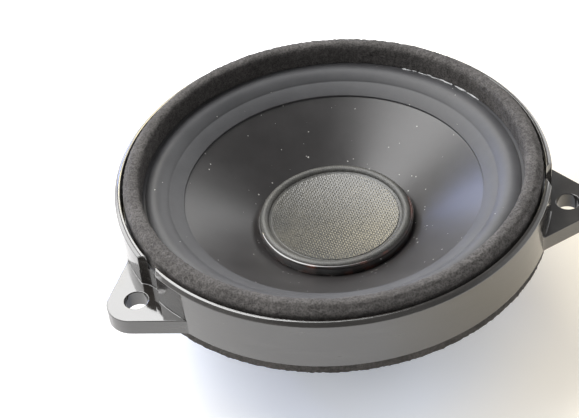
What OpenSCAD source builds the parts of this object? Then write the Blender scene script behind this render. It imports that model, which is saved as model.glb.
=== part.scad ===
// Dashboard speaker with a moulded three-ear basket, for a 100 mm class dash opening.
// The speaker faces up. The origin is on its axis, at the back face of the motor.

/* [Skirt and ears] */
// Outer diameter of the skirt and rim
rim_d = 105; // [98:0.5:112]
// Depth from the panel face to the back of the motor
mount_depth = 30; // [29:0.5:40]
// Height of the skirt, from its foot to the top of the rim
skirt_h = 13.2; // [12.4:0.1:18]
// Wall thickness of the skirt
skirt_wall = 2; // [1.6:0.1:2.6]
// Wall thickness of the rim above the ledge
rim_wall = 1.5; // [1.2:0.1:2]
// Chamfer on the outer edge of the rim
rim_chamfer = 0.8; // [0.3:0.1:1]
// Width of the foot under the skirt
foot_w = 3.6; // [2.8:0.1:5]
// Thickness of the foot under the skirt
foot_t = 1.6; // [1.2:0.1:2.4]
// Distance of each screw hole outside the skirt
hole_offset = 3.8; // [3.4:0.1:6]
// Diameter of the screw holes
hole_d = 5.5; // [4:0.1:6.5]
// Thickness of the ears
ear_t = 4.2; // [3:0.1:5.5]
// Plastic between a hole's centre and the outer edge of its ear, along the flank
ear_tip_r = 6.3; // [5.4:0.1:8]
// Distance from a hole's centre out to the centre of its ear's round tip
ear_tip_shift = 0.8; // [0:0.1:2]
// Slope of an ear's flanks, to a line through the axis and the hole
ear_flank_angle = 38.7; // [30:0.1:48]
// Length of the fillets where an ear's flanks meet the skirt
ear_fillet = 1; // [0.5:0.1:4]
// Angle from the back ear to each of the other two
ear_spread = 111.15; // [105:0.05:125]
// Radius of the screw-head pocket in the rim behind each ear
pocket_r = 5.6; // [5:0.1:6.2]

/* [Ledge and gaskets] */
// Depth of the surround's ledge below the top of the rim
ledge_depth = 3.8; // [3:0.1:5]
// Width of the ledge, inside the rim
ledge_w = 5.8; // [5.4:0.1:7]
// Thickness of the ledge
ledge_t = 2.5; // [1.8:0.1:3.5]
// Thickness of the rear gasket
rear_gasket_t = 2.6; // [1.5:0.1:4]
// Width of the rear gasket
rear_gasket_w = 2.4; // [1.8:0.1:3]
// Setback of the rear gasket from the skirt's outside
rear_gasket_in = 0.4; // [0.2:0.1:1]
// Height of the front gasket's crest above the rim
gasket_stand = 2.6; // [2:0.1:3.5]
// Fall of the front gasket's top, from its crest to its edges
gasket_fall = 1.7; // [1:0.1:2]
// Width of the flat crest that the grille rests on
gasket_crest_w = 1; // [0.6:0.1:1.4]
// Width of the front gasket
gasket_w = 4.2; // [3.2:0.1:4.2]
// Gap between the front gasket and the rim
gasket_gap = 0.7; // [0.4:0.1:1.2]
// Rounding of the front gasket's outer upper edge
gasket_round = 0.6; // [0.3:0.1:0.8]

/* [Conical wall] */
// Wall thickness of the conical wall and the floor
wall = 2; // [1.6:0.1:2.4]
// Diameter of the spider's seat, at the foot of the conical wall
seat_d = 63.6; // [60:0.2:66]
// Width of the spider's seat
seat_w = 3.8; // [3:0.1:4.6]
// Height of the spider's seat above the floor
seat_h = 5.1; // [4.9:0.1:6]
// Diameter of the hole in the floor
floor_hole_d = 34; // [32:0.5:35]
// Number of windows in the conical wall
window_n = 6; // [6:6:6]
// Width of a window at its foot
window_low_w = 19; // [14:0.5:21]
// Width of a window at its top
window_high_w = 28; // [20:0.5:30]
// Radius of the windows' corners
window_round = 2.2; // [1:0.1:3]
// Wall left under and over the windows
window_margin = 1.9; // [1.5:0.1:2.6]
// Thickness of the ribs down the spokes
rib_t = 2; // [1.4:0.1:3]
// Height of the ribs on the spokes
rib_h = 2.4; // [1.2:0.1:3.2]

/* [Surround] */
// Thickness of the surround
surround_t = 0.45; // [0.35:0.05:0.7]
// Width of the roll
roll_w = 5.6; // [4.8:0.1:6.4]
// Height of the roll's crest above its feet
roll_h = 1.2; // [0.8:0.1:2]
// Drop from the ledge to the inner foot of the roll
roll_drop = 1.1; // [0.6:0.1:1.3]
// Width of the inner flange that lies on the cone
inner_flange_w = 3.5; // [3.2:0.1:4.4]
// Width of the glued overlap on the cone
cone_overlap = 1.3; // [1:0.1:1.6]

/* [Cone and cap] */
// Slope of the cone
cone_angle = 32; // [30:0.5:33.5]
// Drop from the ledge to the cone at the edge of the surround
cone_drop = 3.1; // [2.9:0.1:3.6]
// Thickness of the cone, measured along the axis
cone_t = 0.8; // [0.5:0.1:1]
// Diameter of the dust cap
cap_d = 37.5; // [34:0.5:42]
// Height of the cap's crest above the cone at the cap's foot
cap_h = 3.3; // [2.9:0.1:4.5]
// Radius of the raised roll at the cap's edge
cap_roll_r = 1.2; // [0.8:0.1:1.4]
// Thickness of the dust cap
cap_t = 0.5; // [0.3:0.1:0.6]
// Drop from the cap's crest to the edge of its disc
cap_drop = 0.9; // [0.5:0.1:1.2]
// Dip of the disc from its edge to its middle
cap_dish = 0.8; // [0.2:0.1:1.5]
// Width of the glue round the cap
cap_glue_w = 0.9; // [0.5:0.1:1.4]

/* [Voice coil and spider] */
// Wall thickness of the former
former_wall = 0.2; // [0.15:0.05:0.3]
// Thickness of the winding
winding_t = 0.5; // [0.3:0.1:0.7]
// Height of the winding
winding_h = 9; // [7:0.5:9.5]
// Bare length of the former below the winding
former_tail = 0.6; // [0.3:0.1:0.8]
// Length of the former above the cone's neck
former_head = 1.6; // [1:0.1:2.4]
// Thickness of the spider
spider_t = 0.4; // [0.3:0.05:0.6]
// Number of the spider's corrugations
spider_waves = 5; // [4:1:6]
// Height of the corrugations, each side of the middle
spider_amp = 0.8; // [0.5:0.1:0.9]
// Width of the spider's flat edges
spider_flat = 2.6; // [1.6:0.1:3]

/* [Motor] */
// Diameter of the pole
pole_d = 25; // [24:0.1:26]
// Running clearance each side of the coil
coil_clear = 0.4; // [0.3:0.05:0.5]
// Steel of the front plate and the yoke outside the screws
plate_edge = 1.6; // [1:0.1:3.6]
// Thickness of the yoke's back plate
yoke_t = 4; // [3:0.1:5.5]
// Diameter of the magnet
magnet_d = 50; // [48:0.5:55]
// Bore of the magnet
magnet_bore = 32; // [30:0.5:34]
// Thickness of the front plate
plate_t = 3.5; // [3:0.1:5]
// Chamfer on the steel plates
plate_chamfer = 0.6; // [0.3:0.1:1]
// Diameter of the screws between basket and front plate
screw_d = 3; // [2.5:0.1:3]
// Diameter of the screws' heads
screw_head_d = 5.4; // [5:0.1:5.6]
// Height of the screws' heads
screw_head_h = 1.6; // [1.2:0.1:1.8]

/* [Connector] */
// Width of the plug socket
socket_w = 15.2; // [15:0.1:16]
// Height of the plug socket
socket_h = 8.6; // [8:0.1:9]
// Length of the plug socket
socket_l = 8; // [7:0.1:9]
// Wall thickness of the plug socket
socket_wall = 1.2; // [1:0.1:1.4]
// Distance between the two blades
blade_pitch = 7.9; // [7.8:0.1:8]
// Width of the positive blade
blade_wide = 2.8; // [2.4:0.1:2.8]
// Width of the negative blade
blade_narrow = 2.2; // [1.8:0.1:2.3]
// Thickness of the blades
blade_t = 0.8; // [0.5:0.1:0.8]
// Diameter of the flexible leads
lead_d = 1.2; // [0.8:0.1:1.4]

/* [Hidden] */
$fn = 96;

// Named clearances
glue = 0.1;          // glue line between curved faces
bond = 0.05;         // glue line between the coil's tubes
rim_clear = 0.3;     // between the surround's edge and the rim
seat_clear = 0.4;    // between the spider's edge and the foot of the conical wall
screw_clear = 0.2;   // each side of a screw in the basket, and of its head in the well
thread_clear = 0.05; // each side of a screw in its tapped hole
tip_clear = 0.4;     // between a screw's tip and the magnet
blade_clear = 0.1;   // each side of a blade in its slot
panel_clear = 0.4;   // between the plug socket and the panel's plane

// Small shapes of the moulding
ledge_lean = 1.4;    // how far the wall runs in under the ledge
well_lean = 2;       // how far the well narrows from the seat to the floor
sink = 0.3;          // how deep joined shapes run into each other
over = 1;            // how far cutters run past a face
bay_wall = 1.6;      // wall beside the terminals' bay
bay_foot = 1.2;      // rise of the bay's floor above the spider's seat
bracket_edge = 1.2;  // width of the bracket beside the plug socket
socket_lip = 1;      // width of the socket's back flange

// Heights of the skirt, from the back of the motor
skirt_z = mount_depth + rear_gasket_t;
rim_z = skirt_z + skirt_h;
ledge_z = rim_z - ledge_depth;
under_z = ledge_z - ledge_t;

// Radii of the basket
rim_r = rim_d / 2;
rim_in = rim_r - rim_wall;
skirt_in = rim_r - skirt_wall;
ledge_in = rim_in - ledge_w;
wall_top_r = ledge_in - ledge_lean;
seat_r = seat_d / 2;
seat_in = seat_r - seat_w;
well_r = seat_in - well_lean;
hole_r = rim_r + hole_offset;
ears = [90, 90 + ear_spread, 90 - ear_spread];

// Surround and cone
roll_land = 0.2;     // how far the roll's outer foot stands in on the ledge
roll_out = ledge_in + roll_land;
roll_in = roll_out - roll_w;
flange_r = roll_in - inner_flange_w;
cone_r = flange_r + cone_overlap;
cone_slope = tan(cone_angle);
cone_edge_z = ledge_z - cone_drop;
surround_out = rim_in - rim_clear;

// Radii of the voice coil
former_in = pole_d / 2 + coil_clear;
former_out = former_in + former_wall;
winding_out = former_out + winding_t;
gap_r = winding_out + coil_clear;
neck_r = former_out + glue;

// Heights from the cone's neck down: the magnet takes up what is left of the depth
neck_room = 0.7;     // gap between the spider and the cone's neck
seat_z = cone_z(neck_r) - cone_t - neck_room - spider_t;
floor_z = seat_z - seat_h;
motor_h = floor_z - wall;
plate_z = motor_h - plate_t;

// Conical wall and its windows
wall_run = (under_z - seat_z) / (wall_top_r - seat_r);
wall_x = wall * sqrt(1 + 1 / (wall_run * wall_run));
window_step = 360 / window_n;
window_z0 = seat_z + window_margin;
window_z1 = under_z - window_margin;
spokes = [for (i = [0 : window_n - 1]) window_step * (i + 0.5)];

// Heights of the voice coil
winding_z = (plate_z + motor_h) / 2 - winding_h / 2;
former_z = winding_z - former_tail;
former_top = cone_z(neck_r) + former_head;

// Dust cap
cap_r = cap_d / 2;
cap_crest_z = cone_z(cap_r) + cap_h;
groove = 0.24;       // depth of the groove round the disc
cap_step = 0.75;     // width of the slope from the roll down to the disc
disc_r = cap_r - 2 * cap_roll_r - cap_step;

// Connector and leads
tab_h = 2.6;         // height of a solder tab
tab_in = 5;          // distance of the tabs behind the pad
tip_in = 1.5;        // distance of the blades' tips inside the socket's mouth
lead_x = 4.6;        // distance of a lead's joint from the middle plane
lead_r = 23;         // radius of the leads' joints on the cone
socket_z = mount_depth - panel_clear - socket_h / 2;
lip_z0 = socket_z - socket_h / 2 - socket_lip;
lip_z1 = socket_z + socket_h / 2 + socket_lip;
pad_y = cone_wall_out(lip_z1);
blade_y0 = pad_y - tab_in;
blade_tip = pad_y + socket_l - tip_in;

// Height of the cone's upper face at radius r
function cone_z(r) = cone_edge_z - (flange_r - r) * cone_slope;
// Radius of the conical wall's outer face at height z
function cone_wall_out(z) = seat_r + wall_x + (z - seat_z) / wall_run;
// Point on an arc in the plane
function on_arc(c, r, a) = [c[0] + r * cos(a), c[1] + r * sin(a)];
function arc(c, r, a0, a1, n) = [for (i = [0 : n]) on_arc(c, r, a0 + (a1 - a0) * i / n)];
// Curve with two end points and one handle
function bend(a, b, c, n) = [for (i = [0 : n]) let (t = i / n)
    a * (1 - t) * (1 - t) + b * 2 * t * (1 - t) + c * t * t];
function reversed(v) = [for (i = [len(v) - 1 : -1 : 0]) v[i]];
function lowered(v, d) = [for (p = v) [p[0], p[1] - d]];
function unit(v) = v / norm(v);

// Turned shape from a profile of [radius, height] points
module turned(points) {
    rotate_extrude($fn = 180)
        polygon(points);
}

// Thin turned sheet under a line of points, with an even thickness along the axis
module turned_sheet(line, t) {
    turned(concat(line, reversed(lowered(line, t))));
}

// Profile of a wall that stands on a spoke, with the given thickness across it
module on_spoke(points, t, a) {
    rotate([0, 0, a])
        translate([0, t / 2, 0])
            rotate([90, 0, 0])
                linear_extrude(t)
                    polygon(points);
}

// Outline of an ear: round tip, straight flanks and fillets into the skirt
function ear_side(s) =
    let (c = [hole_r + ear_tip_shift, 0],
        a = 90 - ear_flank_angle,
        p = on_arc(c, ear_tip_r, a),
        d = [-sin(a), cos(a)],
        b = p[0] * d[0] + p[1] * d[1],
        q = p[0] * p[0] + p[1] * p[1] - rim_r * rim_r,
        k = -b - sqrt(b * b - q),
        foot = p + d * k,
        g = atan2(foot[1], foot[0]),
        land = on_arc([0, 0], rim_r - sink, g + ear_fillet / rim_r * 180 / PI))
    [for (v = concat(arc(c, ear_tip_r, 0, a, 8), bend(foot - d * ear_fillet, foot, land, 5)))
        [v[0], s * v[1]]];

module ear_plan() {
    polygon(concat(ear_side(1), [[rim_r - foot_w, 0]], reversed(ear_side(-1))));
}

// Window outline across a spoke pitch: x across, y up
function window_plan() =
    let (w0 = window_low_w / 2,
        w1 = window_high_w / 2,
        z0 = window_z0,
        z1 = window_z1,
        r = window_round,
        lean = atan2(w1 - w0, z1 - z0),
        low = w0 - r * tan(45 - lean / 2),
        high = w1 - r / tan(45 - lean / 2))
    concat(
        arc([low, z0 + r], r, -90, -lean, 5),
        arc([high, z1 - r], r, -lean, 90, 5),
        arc([-high, z1 - r], r, 90, 180 + lean, 5),
        arc([-low, z0 + r], r, 180 + lean, 270, 5));

// Basket: skirt, rim, ears, ledge, windowed wall, spider seat and floor in one moulding
module basket_shell() {
    turned([
        [rim_r, skirt_z],
        [rim_r, rim_z - rim_chamfer],
        [rim_r - rim_chamfer, rim_z],
        [rim_in, rim_z],
        [rim_in, ledge_z],
        [ledge_in, ledge_z],
        [wall_top_r, under_z],
        [seat_r, seat_z],
        [seat_in, seat_z],
        [well_r, floor_z],
        [floor_hole_d / 2, floor_z],
        [floor_hole_d / 2, motor_h],
        [well_r + wall, motor_h],
        [seat_in + wall, seat_z - wall],
        [cone_wall_out(seat_z - wall), seat_z - wall],
        [cone_wall_out(under_z), under_z],
        [skirt_in, under_z],
        [skirt_in, skirt_z + foot_t],
        [rim_r - foot_w, skirt_z + foot_t],
        [rim_r - foot_w, skirt_z]
    ]);
}

module ear(a) {
    rotate([0, 0, a]) {
        translate([0, 0, skirt_z])
            linear_extrude(ear_t)
                ear_plan();
        intersection() {
            translate([hole_r, 0, skirt_z])
                cylinder(r = pocket_r + skirt_wall, h = under_z - skirt_z + ledge_t / 2);
            translate([0, 0, skirt_z])
                cylinder(r = rim_r - sink, h = rim_z);
        }
    }
}

module spoke_rib(a) {
    on_spoke([
        [cone_wall_out(seat_z) - wall, seat_z - wall],
        [cone_wall_out(seat_z - wall) + rib_h, seat_z - wall],
        [cone_wall_out(skirt_z) + rib_h, skirt_z],
        [skirt_in + sink, (skirt_z + under_z) / 2],
        [skirt_in + sink, under_z + sink],
        [cone_wall_out(under_z) - wall, under_z + sink]
    ], rib_t, a);
}

module connector_bracket() {
    on_spoke([
        [cone_wall_out(seat_z) - wall, seat_z - wall],
        [pad_y, lip_z0],
        [pad_y, lip_z1],
        [cone_wall_out(skirt_z) - wall, skirt_z]
    ], socket_w + 2 * bracket_edge, 90);
}

module basket() {
    color("#26272a")
        difference() {
            union() {
                basket_shell();
                for (a = ears)
                    ear(a);
                for (a = spokes)
                    if (a != 90)
                        spoke_rib(a);
                connector_bracket();
            }
            for (i = [0 : window_n - 1])
                rotate([0, 0, window_step * i + 90])
                    translate([0, -seat_in, 0])
                        rotate([90, 0, 0])
                            linear_extrude(cone_wall_out(under_z) + over - seat_in)
                                polygon(window_plan());
            for (a = ears)
                rotate([0, 0, a])
                    translate([hole_r, 0, 0]) {
                        translate([0, 0, skirt_z - over])
                            cylinder(d = hole_d, h = ear_t + 2 * over);
                        translate([0, 0, skirt_z + ear_t])
                            cylinder(r = pocket_r, h = rim_z);
                    }
            for (a = screw_angles)
                rotate([0, 0, a])
                    translate([screw_r, 0, motor_h - over])
                        cylinder(d = screw_d + 2 * screw_clear, h = wall + 2 * over);
            translate([-socket_w / 2 + bay_wall, seat_in + over, seat_z + bay_foot])
                cube([socket_w - 2 * bay_wall, pad_y - wall - seat_in - over,
                    mount_depth - seat_z - 2 * bay_foot]);
            for (s = [-1, 1])
                translate([s * blade_pitch / 2, pad_y, socket_z])
                    cube([blade_wide + 2 * blade_clear, 2 * (wall + over),
                        blade_t + 2 * blade_clear], center = true);
        }
}

// Foam ring in front of the surround's flange: flat crest, rounded inwards and sloped outwards
gasket_out = rim_in - gasket_gap;
gasket_in = gasket_out - gasket_w;
gasket_z0 = ledge_z + surround_t;
crest_z = rim_z + gasket_stand;
module front_gasket() {
    crest_out = [(gasket_in + gasket_out + gasket_crest_w) / 2, crest_z];
    brow = [gasket_out, crest_z - gasket_fall];
    slope = unit(crest_out - brow);
    color("#3a3836")
        turned(concat(
            [[gasket_in, gasket_z0], [gasket_out, gasket_z0]],
            bend(brow - [0, gasket_round], brow, brow + slope * gasket_round, 4),
            [crest_out],
            bend(crest_out - [gasket_crest_w, 0], [gasket_in, crest_z],
                [gasket_in, crest_z - gasket_fall], 6)));
}

// Foam ring under the skirt's foot
module rear_gasket() {
    color("#2e2c2a")
        turned([
            [rim_r - rear_gasket_in - rear_gasket_w, mount_depth],
            [rim_r - rear_gasket_in, mount_depth],
            [rim_r - rear_gasket_in, skirt_z],
            [rim_r - rear_gasket_in - rear_gasket_w, skirt_z]
        ]);
}

// Upper face of the surround, from the cone out to its flange
function roll_line() = [for (i = [0 : 16]) let (t = i / 16) [
    roll_in + roll_w * t,
    ledge_z + surround_t - roll_drop * (1 - t) + roll_h * sin(180 * t)]];
function surround_line() =
    let (lift = glue + surround_t,
        knee = (cone_r + roll_in) / 2)
    concat(
        [[flange_r, cone_z(flange_r) + lift]],
        bend([cone_r, cone_z(cone_r) + lift], [knee, cone_z(knee) + lift], roll_line()[0], 5),
        [for (i = [1 : 16]) roll_line()[i]],
        [[surround_out, ledge_z + surround_t]]);
module surround() {
    color("#35363a")
        turned_sheet(surround_line(), surround_t);
}

module cone() {
    color("#1e1f22")
        turned_sheet([
            [neck_r, cone_z(neck_r)],
            [cone_r, cone_z(cone_r)]
        ], cone_t);
}

// Upper face of the dust cap, from its middle out to its foot on the cone
function cap_line() =
    let (roll = [cap_r - cap_roll_r, cap_crest_z - cap_roll_r],
        disc_z = cap_crest_z - cap_drop,
        steps = 8)
    concat(
        [for (i = [0 : steps]) let (t = i / steps) [disc_r * t, disc_z - cap_dish * (1 - t * t)]],
        [[disc_r + groove / 2, disc_z - groove], [disc_r + 2 * groove, disc_z - groove]],
        arc(roll, cap_roll_r, 165, 0, 8));
module dust_cap() {
    line = cap_line();
    foot_z = cone_z(cap_r) + glue;
    roll = [cap_r - cap_roll_r, cap_crest_z - cap_roll_r];
    color("#6d6c66")
        turned(concat(
            line,
            [[cap_r, foot_z], [cap_r - cap_t, foot_z]],
            arc(roll, cap_roll_r - cap_t, 0, 180, 6),
            [for (i = [10 : -1 : 0]) [line[i][0], line[i][1] - cap_t]]));
}

// Glue fillet round the foot of the cap
module cap_adhesive() {
    r0 = cap_r + bond;
    r1 = r0 + cap_glue_w;
    top = cap_crest_z - cap_roll_r;
    color("#4a1d12")
        turned(concat(
            [[r0, cone_z(r0) + bond]],
            bend([r1, cone_z(r1) + bond], [r0 + cap_glue_w / 2, cone_z(r1) + cap_glue_w / 2],
                [r0, top], 6)));
}

module tube(r_in, r_out, z0, z1) {
    turned([[r_in, z0], [r_out, z0], [r_out, z1], [r_in, z1]]);
}

module voice_coil_former() {
    color("#8a6a3c")
        tube(former_in, former_out, former_z, former_top);
}

module voice_coil_winding() {
    color("#a4581f")
        tube(former_out + bond, winding_out, winding_z, winding_z + winding_h);
}

// Glue fillet between the former and the underside of the cone
module neck_adhesive() {
    r0 = former_out + bond;
    r1 = r0 + neck_glue_w;
    foot = seat_z + spider_t + neck_room / 2;
    color("#5a3a1c")
        turned([
            [r0, foot],
            [r0 + neck_glue_w / 2, foot],
            [r1, cone_z(r1) - cone_t - glue],
            [r0, cone_z(r0) - cone_t - glue]
        ]);
}

// Corrugated cloth between the basket's seat and the former
spider_in = former_out + bond;
spider_out = seat_r - seat_clear;
wave_in = spider_in + spider_flat;
wave_out = seat_in - seat_clear;
neck_glue_w = 1.5;   // width of that glue under the cone
function spider_line() =
    let (n = spider_waves * 8)
    concat(
        [[spider_in, seat_z + spider_t]],
        [for (i = [0 : n]) let (t = i / n) [
            wave_in + (wave_out - wave_in) * t,
            seat_z + spider_t + spider_amp * sin(360 * spider_waves * t)]],
        [[spider_out, seat_z + spider_t]]);
module spider() {
    color("#b8923e")
        turned_sheet(spider_line(), spider_t);
}

// Screws between the basket's floor and the front plate
screw_r = floor_hole_d / 2 + screw_head_d / 2 + screw_clear;
screw_angles = [30, 150, 270];
plate_r = screw_r + screw_d / 2 + plate_edge;
module front_plate() {
    color("#8d9094")
        difference() {
            turned([
                [gap_r, plate_z],
                [plate_r - plate_chamfer, plate_z],
                [plate_r, plate_z + plate_chamfer],
                [plate_r, motor_h - plate_chamfer],
                [plate_r - plate_chamfer, motor_h],
                [gap_r, motor_h]
            ]);
            for (a = screw_angles)
                rotate([0, 0, a])
                    translate([screw_r, 0, plate_z - over])
                        cylinder(d = screw_d + 2 * thread_clear, h = plate_t + 2 * over);
        }
}

module magnet() {
    color("#3b3c3e")
        turned([
            [magnet_bore / 2, yoke_t],
            [magnet_d / 2 - plate_chamfer, yoke_t],
            [magnet_d / 2, yoke_t + plate_chamfer],
            [magnet_d / 2, plate_z - plate_chamfer],
            [magnet_d / 2 - plate_chamfer, plate_z],
            [magnet_bore / 2, plate_z]
        ]);
}

// Back plate with its pole, relieved below the gap and chamfered at the top
pole_relief = 0.5;
pole_chamfer = 0.3;
module yoke() {
    color("#8d9094")
        turned([
            [0, 0],
            [plate_r - plate_chamfer, 0],
            [plate_r, plate_chamfer],
            [plate_r, yoke_t - plate_chamfer],
            [plate_r - plate_chamfer, yoke_t],
            [pole_d / 2 - pole_relief, yoke_t],
            [pole_d / 2 - pole_relief, plate_z - 2 * pole_relief],
            [pole_d / 2, plate_z],
            [pole_d / 2, motor_h - pole_chamfer],
            [pole_d / 2 - pole_chamfer, motor_h],
            [0, motor_h]
        ]);
}

// Pan-head screws with a cross recess
cross_w = 2.8;
cross_t = 0.7;
cross_h = 0.8;
module plate_screws() {
    color("#b9bcc0")
        for (a = screw_angles)
            rotate([0, 0, a])
                translate([screw_r, 0, 0])
                    difference() {
                        union() {
                            translate([0, 0, plate_z + tip_clear])
                                cylinder(d = screw_d, h = plate_t + wall);
                            translate([0, 0, floor_z])
                                turned(concat(
                                    [[0, 0], [screw_head_d / 2, 0]],
                                    bend([screw_head_d / 2, screw_head_h / 2],
                                        [screw_head_d / 2, screw_head_h],
                                        [screw_head_d / 4, screw_head_h], 4),
                                    [[0, screw_head_h]]));
                        }
                        for (b = [0, 90])
                            rotate([0, 0, b])
                                translate([0, 0, floor_z + screw_head_h])
                                    cube([cross_w, cross_t, 2 * cross_h], center = true);
                    }
}

// Plug socket with a back flange, a cavity for the plug and a latch nose
latch_w = 4;
latch_h = 0.8;
latch_run = 3.5;
module connector_housing() {
    color("#1f2022")
        difference() {
            union() {
                translate([-socket_w / 2 - socket_lip, pad_y, lip_z0])
                    cube([socket_w + 2 * socket_lip, socket_wall, lip_z1 - lip_z0]);
                translate([-socket_w / 2, pad_y, socket_z - socket_h / 2])
                    cube([socket_w, socket_l, socket_h]);
                translate([-latch_w / 2, pad_y + socket_l - socket_lip, socket_z - socket_h / 2])
                    rotate([90, 0, 90])
                        linear_extrude(latch_w)
                            polygon([[-latch_run, sink], [-latch_run, 0], [-latch_h / 2, -latch_h],
                                [0, 0], [0, sink]]);
            }
            translate([-socket_w / 2 + socket_wall, pad_y + socket_wall,
                    socket_z - socket_h / 2 + socket_wall])
                cube([socket_w - 2 * socket_wall, socket_l, socket_h - 2 * socket_wall]);
            for (s = [-1, 1])
                translate([s * blade_pitch / 2, pad_y, socket_z])
                    cube([blade_wide + 2 * blade_clear, 2 * (socket_wall + over),
                        blade_t + 2 * blade_clear], center = true);
        }
}

// Blade in the socket, with a solder tab turned up inside the basket
module terminal(s, w) {
    x = s * blade_pitch / 2;
    translate([x - w / 2, 0, socket_z - blade_t / 2])
        rotate([90, 0, 90])
            linear_extrude(w)
                polygon([
                    [blade_y0, 0],
                    [blade_tip - blade_t, 0],
                    [blade_tip, blade_t / 3],
                    [blade_tip, blade_t * 2 / 3],
                    [blade_tip - blade_t, blade_t],
                    [blade_y0 + blade_t, blade_t],
                    [blade_y0 + blade_t, tab_h],
                    [blade_y0, tab_h]
                ]);
}

module terminal_positive() {
    color("#c9b26a")
        terminal(1, blade_wide);
}

module terminal_negative() {
    color("#c9b26a")
        terminal(-1, blade_narrow);
}

// Route of a flexible lead, from the cone's underside to a solder tab
dot_h = 1.1;         // depth of a joint under the cone
lead_pull = 5.5;     // how far a lead runs straight on from each end
dot_z = cone_z(lead_r) - cone_t - dot_h;
lead_end = [blade_pitch / 2, blade_y0 - bond, socket_z - blade_t / 2 + tab_h - lead_d / 2];
lead_start = [lead_x, sqrt(lead_r * lead_r - lead_x * lead_x), dot_z];
function lead_path() =
    let (a = lead_start,
        d = lead_end,
        b = a - [0, 0, lead_pull],
        c = d - [0, lead_pull, 0],
        n = 14)
    [for (i = [0 : n]) let (t = i / n, u = 1 - t)
        a * u * u * u + b * 3 * t * u * u + c * 3 * t * t * u + d * t * t * t];

// Tube swept along a path, with rings square to it
module swept(path, d, sides) {
    n = len(path);
    function along(i) = i == 0 ? [0, 0, -1]
        : i == n - 1 ? [0, 1, 0]
        : unit(path[i + 1] - path[i - 1]);
    rings = [for (i = [0 : n - 1])
        let (t = along(i), side = [1, 0, 0], up = unit(cross(side, t)), out = cross(t, up))
            for (k = [0 : sides - 1])
                path[i] + d / 2 * (cos(360 * k / sides) * out + sin(360 * k / sides) * up)];
    faces = concat(
        [[for (k = [0 : sides - 1]) k]],
        [for (i = [0 : n - 2]) for (k = [0 : sides - 1]) let (m = (k + 1) % sides)
            [i * sides + k, (i + 1) * sides + k, i * sides + m]],
        [for (i = [0 : n - 2]) for (k = [0 : sides - 1]) let (m = (k + 1) % sides)
            [i * sides + m, (i + 1) * sides + k, (i + 1) * sides + m]],
        [[for (k = [sides - 1 : -1 : 0]) (n - 1) * sides + k]]);
    polyhedron(points = rings, faces = faces, convexity = 4);
}

module tinsel_lead_positive() {
    color("#b06a3a")
        swept(lead_path(), lead_d, 8);
}

module tinsel_lead_negative() {
    color("#b06a3a")
        swept([for (p = lead_path()) [-p[0], p[1], p[2]]], lead_d, 8);
}

// Solder and glue dots under the cone
module lead_joints() {
    color("#2a2a2c")
        difference() {
            for (s = [-1, 1])
                translate([s * lead_start[0], lead_start[1], dot_z + bond])
                    cylinder(r1 = lead_d, r2 = 2 * lead_d, h = 2 * dot_h);
            turned([
                [former_out, cone_z(former_out) - cone_t - glue],
                [cone_r, cone_z(cone_r) - cone_t - glue],
                [cone_r, ledge_z],
                [former_out, ledge_z]
            ]);
        }
}

basket();
front_gasket();
rear_gasket();
surround();
cone();
dust_cap();
cap_adhesive();
voice_coil_former();
voice_coil_winding();
neck_adhesive();
spider();
front_plate();
magnet();
yoke();
plate_screws();
connector_housing();
terminal_positive();
terminal_negative();
tinsel_lead_positive();
tinsel_lead_negative();
lead_joints();
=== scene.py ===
"""Dashboard speaker: visible pieces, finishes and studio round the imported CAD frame.

Sizes in the classes are in millimetres, in the frame of the CAD: the speaker faces up, its axis is
Z, and the origin is at the back of the motor.
"""

import logging
import math
import random
from abc import ABC, abstractmethod
from collections.abc import Iterable
from dataclasses import dataclass, field
from enum import Enum

import bmesh
import bpy
from mathutils import Euler, Matrix, Vector, noise


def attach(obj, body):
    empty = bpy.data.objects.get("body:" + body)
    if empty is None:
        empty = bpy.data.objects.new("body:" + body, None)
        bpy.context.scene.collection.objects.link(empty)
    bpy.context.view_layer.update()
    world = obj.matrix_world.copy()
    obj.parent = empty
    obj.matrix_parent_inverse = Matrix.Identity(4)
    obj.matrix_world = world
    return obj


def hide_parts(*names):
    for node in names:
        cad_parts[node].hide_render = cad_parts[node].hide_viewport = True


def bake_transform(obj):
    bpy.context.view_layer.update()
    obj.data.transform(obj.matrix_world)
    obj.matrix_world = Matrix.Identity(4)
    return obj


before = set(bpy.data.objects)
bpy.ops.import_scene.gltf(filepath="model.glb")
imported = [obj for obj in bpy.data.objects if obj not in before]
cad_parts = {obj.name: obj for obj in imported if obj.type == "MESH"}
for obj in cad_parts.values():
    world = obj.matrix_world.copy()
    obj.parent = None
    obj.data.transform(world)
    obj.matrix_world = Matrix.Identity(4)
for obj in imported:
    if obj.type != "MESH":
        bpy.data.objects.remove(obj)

MM = 0.001
TURN_STEPS = 288
log = logging.getLogger("speaker")

# Short names of types
Tree = bpy.types.NodeTree
Node = bpy.types.Node
Socket = bpy.types.NodeSocket
Object = bpy.types.Object
Shape = bmesh.types.BMesh
Source = Node | Socket
Key = str | int
Point = tuple[float, float]


class Body(Enum):
    """Bodies of the CAD frame that a piece can ride on."""

    FRAME = "frame"
    DIAPHRAGM = "diaphragm"


class Slot(Enum):
    """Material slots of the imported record."""

    BASKET = "basket_plastic"
    FRONT_FOAM = "gasket_foam"
    REAR_FOAM = "rear_foam"
    SURROUND = "surround_rubber"
    CONE = "cone_polymer"
    CAP = "cap_cloth"
    BROWN_GLUE = "brown_glue"
    FORMER = "former_film"
    WINDING = "copper_wire"
    SPIDER = "spider_cloth"
    STEEL = "plated_steel"
    FERRITE = "ferrite"
    SCREW = "screw_steel"
    SOCKET = "socket_plastic"
    BLADE = "tinned_brass"
    LEAD = "tinsel_braid"
    BLACK_GLUE = "black_glue"


# Units and colours


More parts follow.
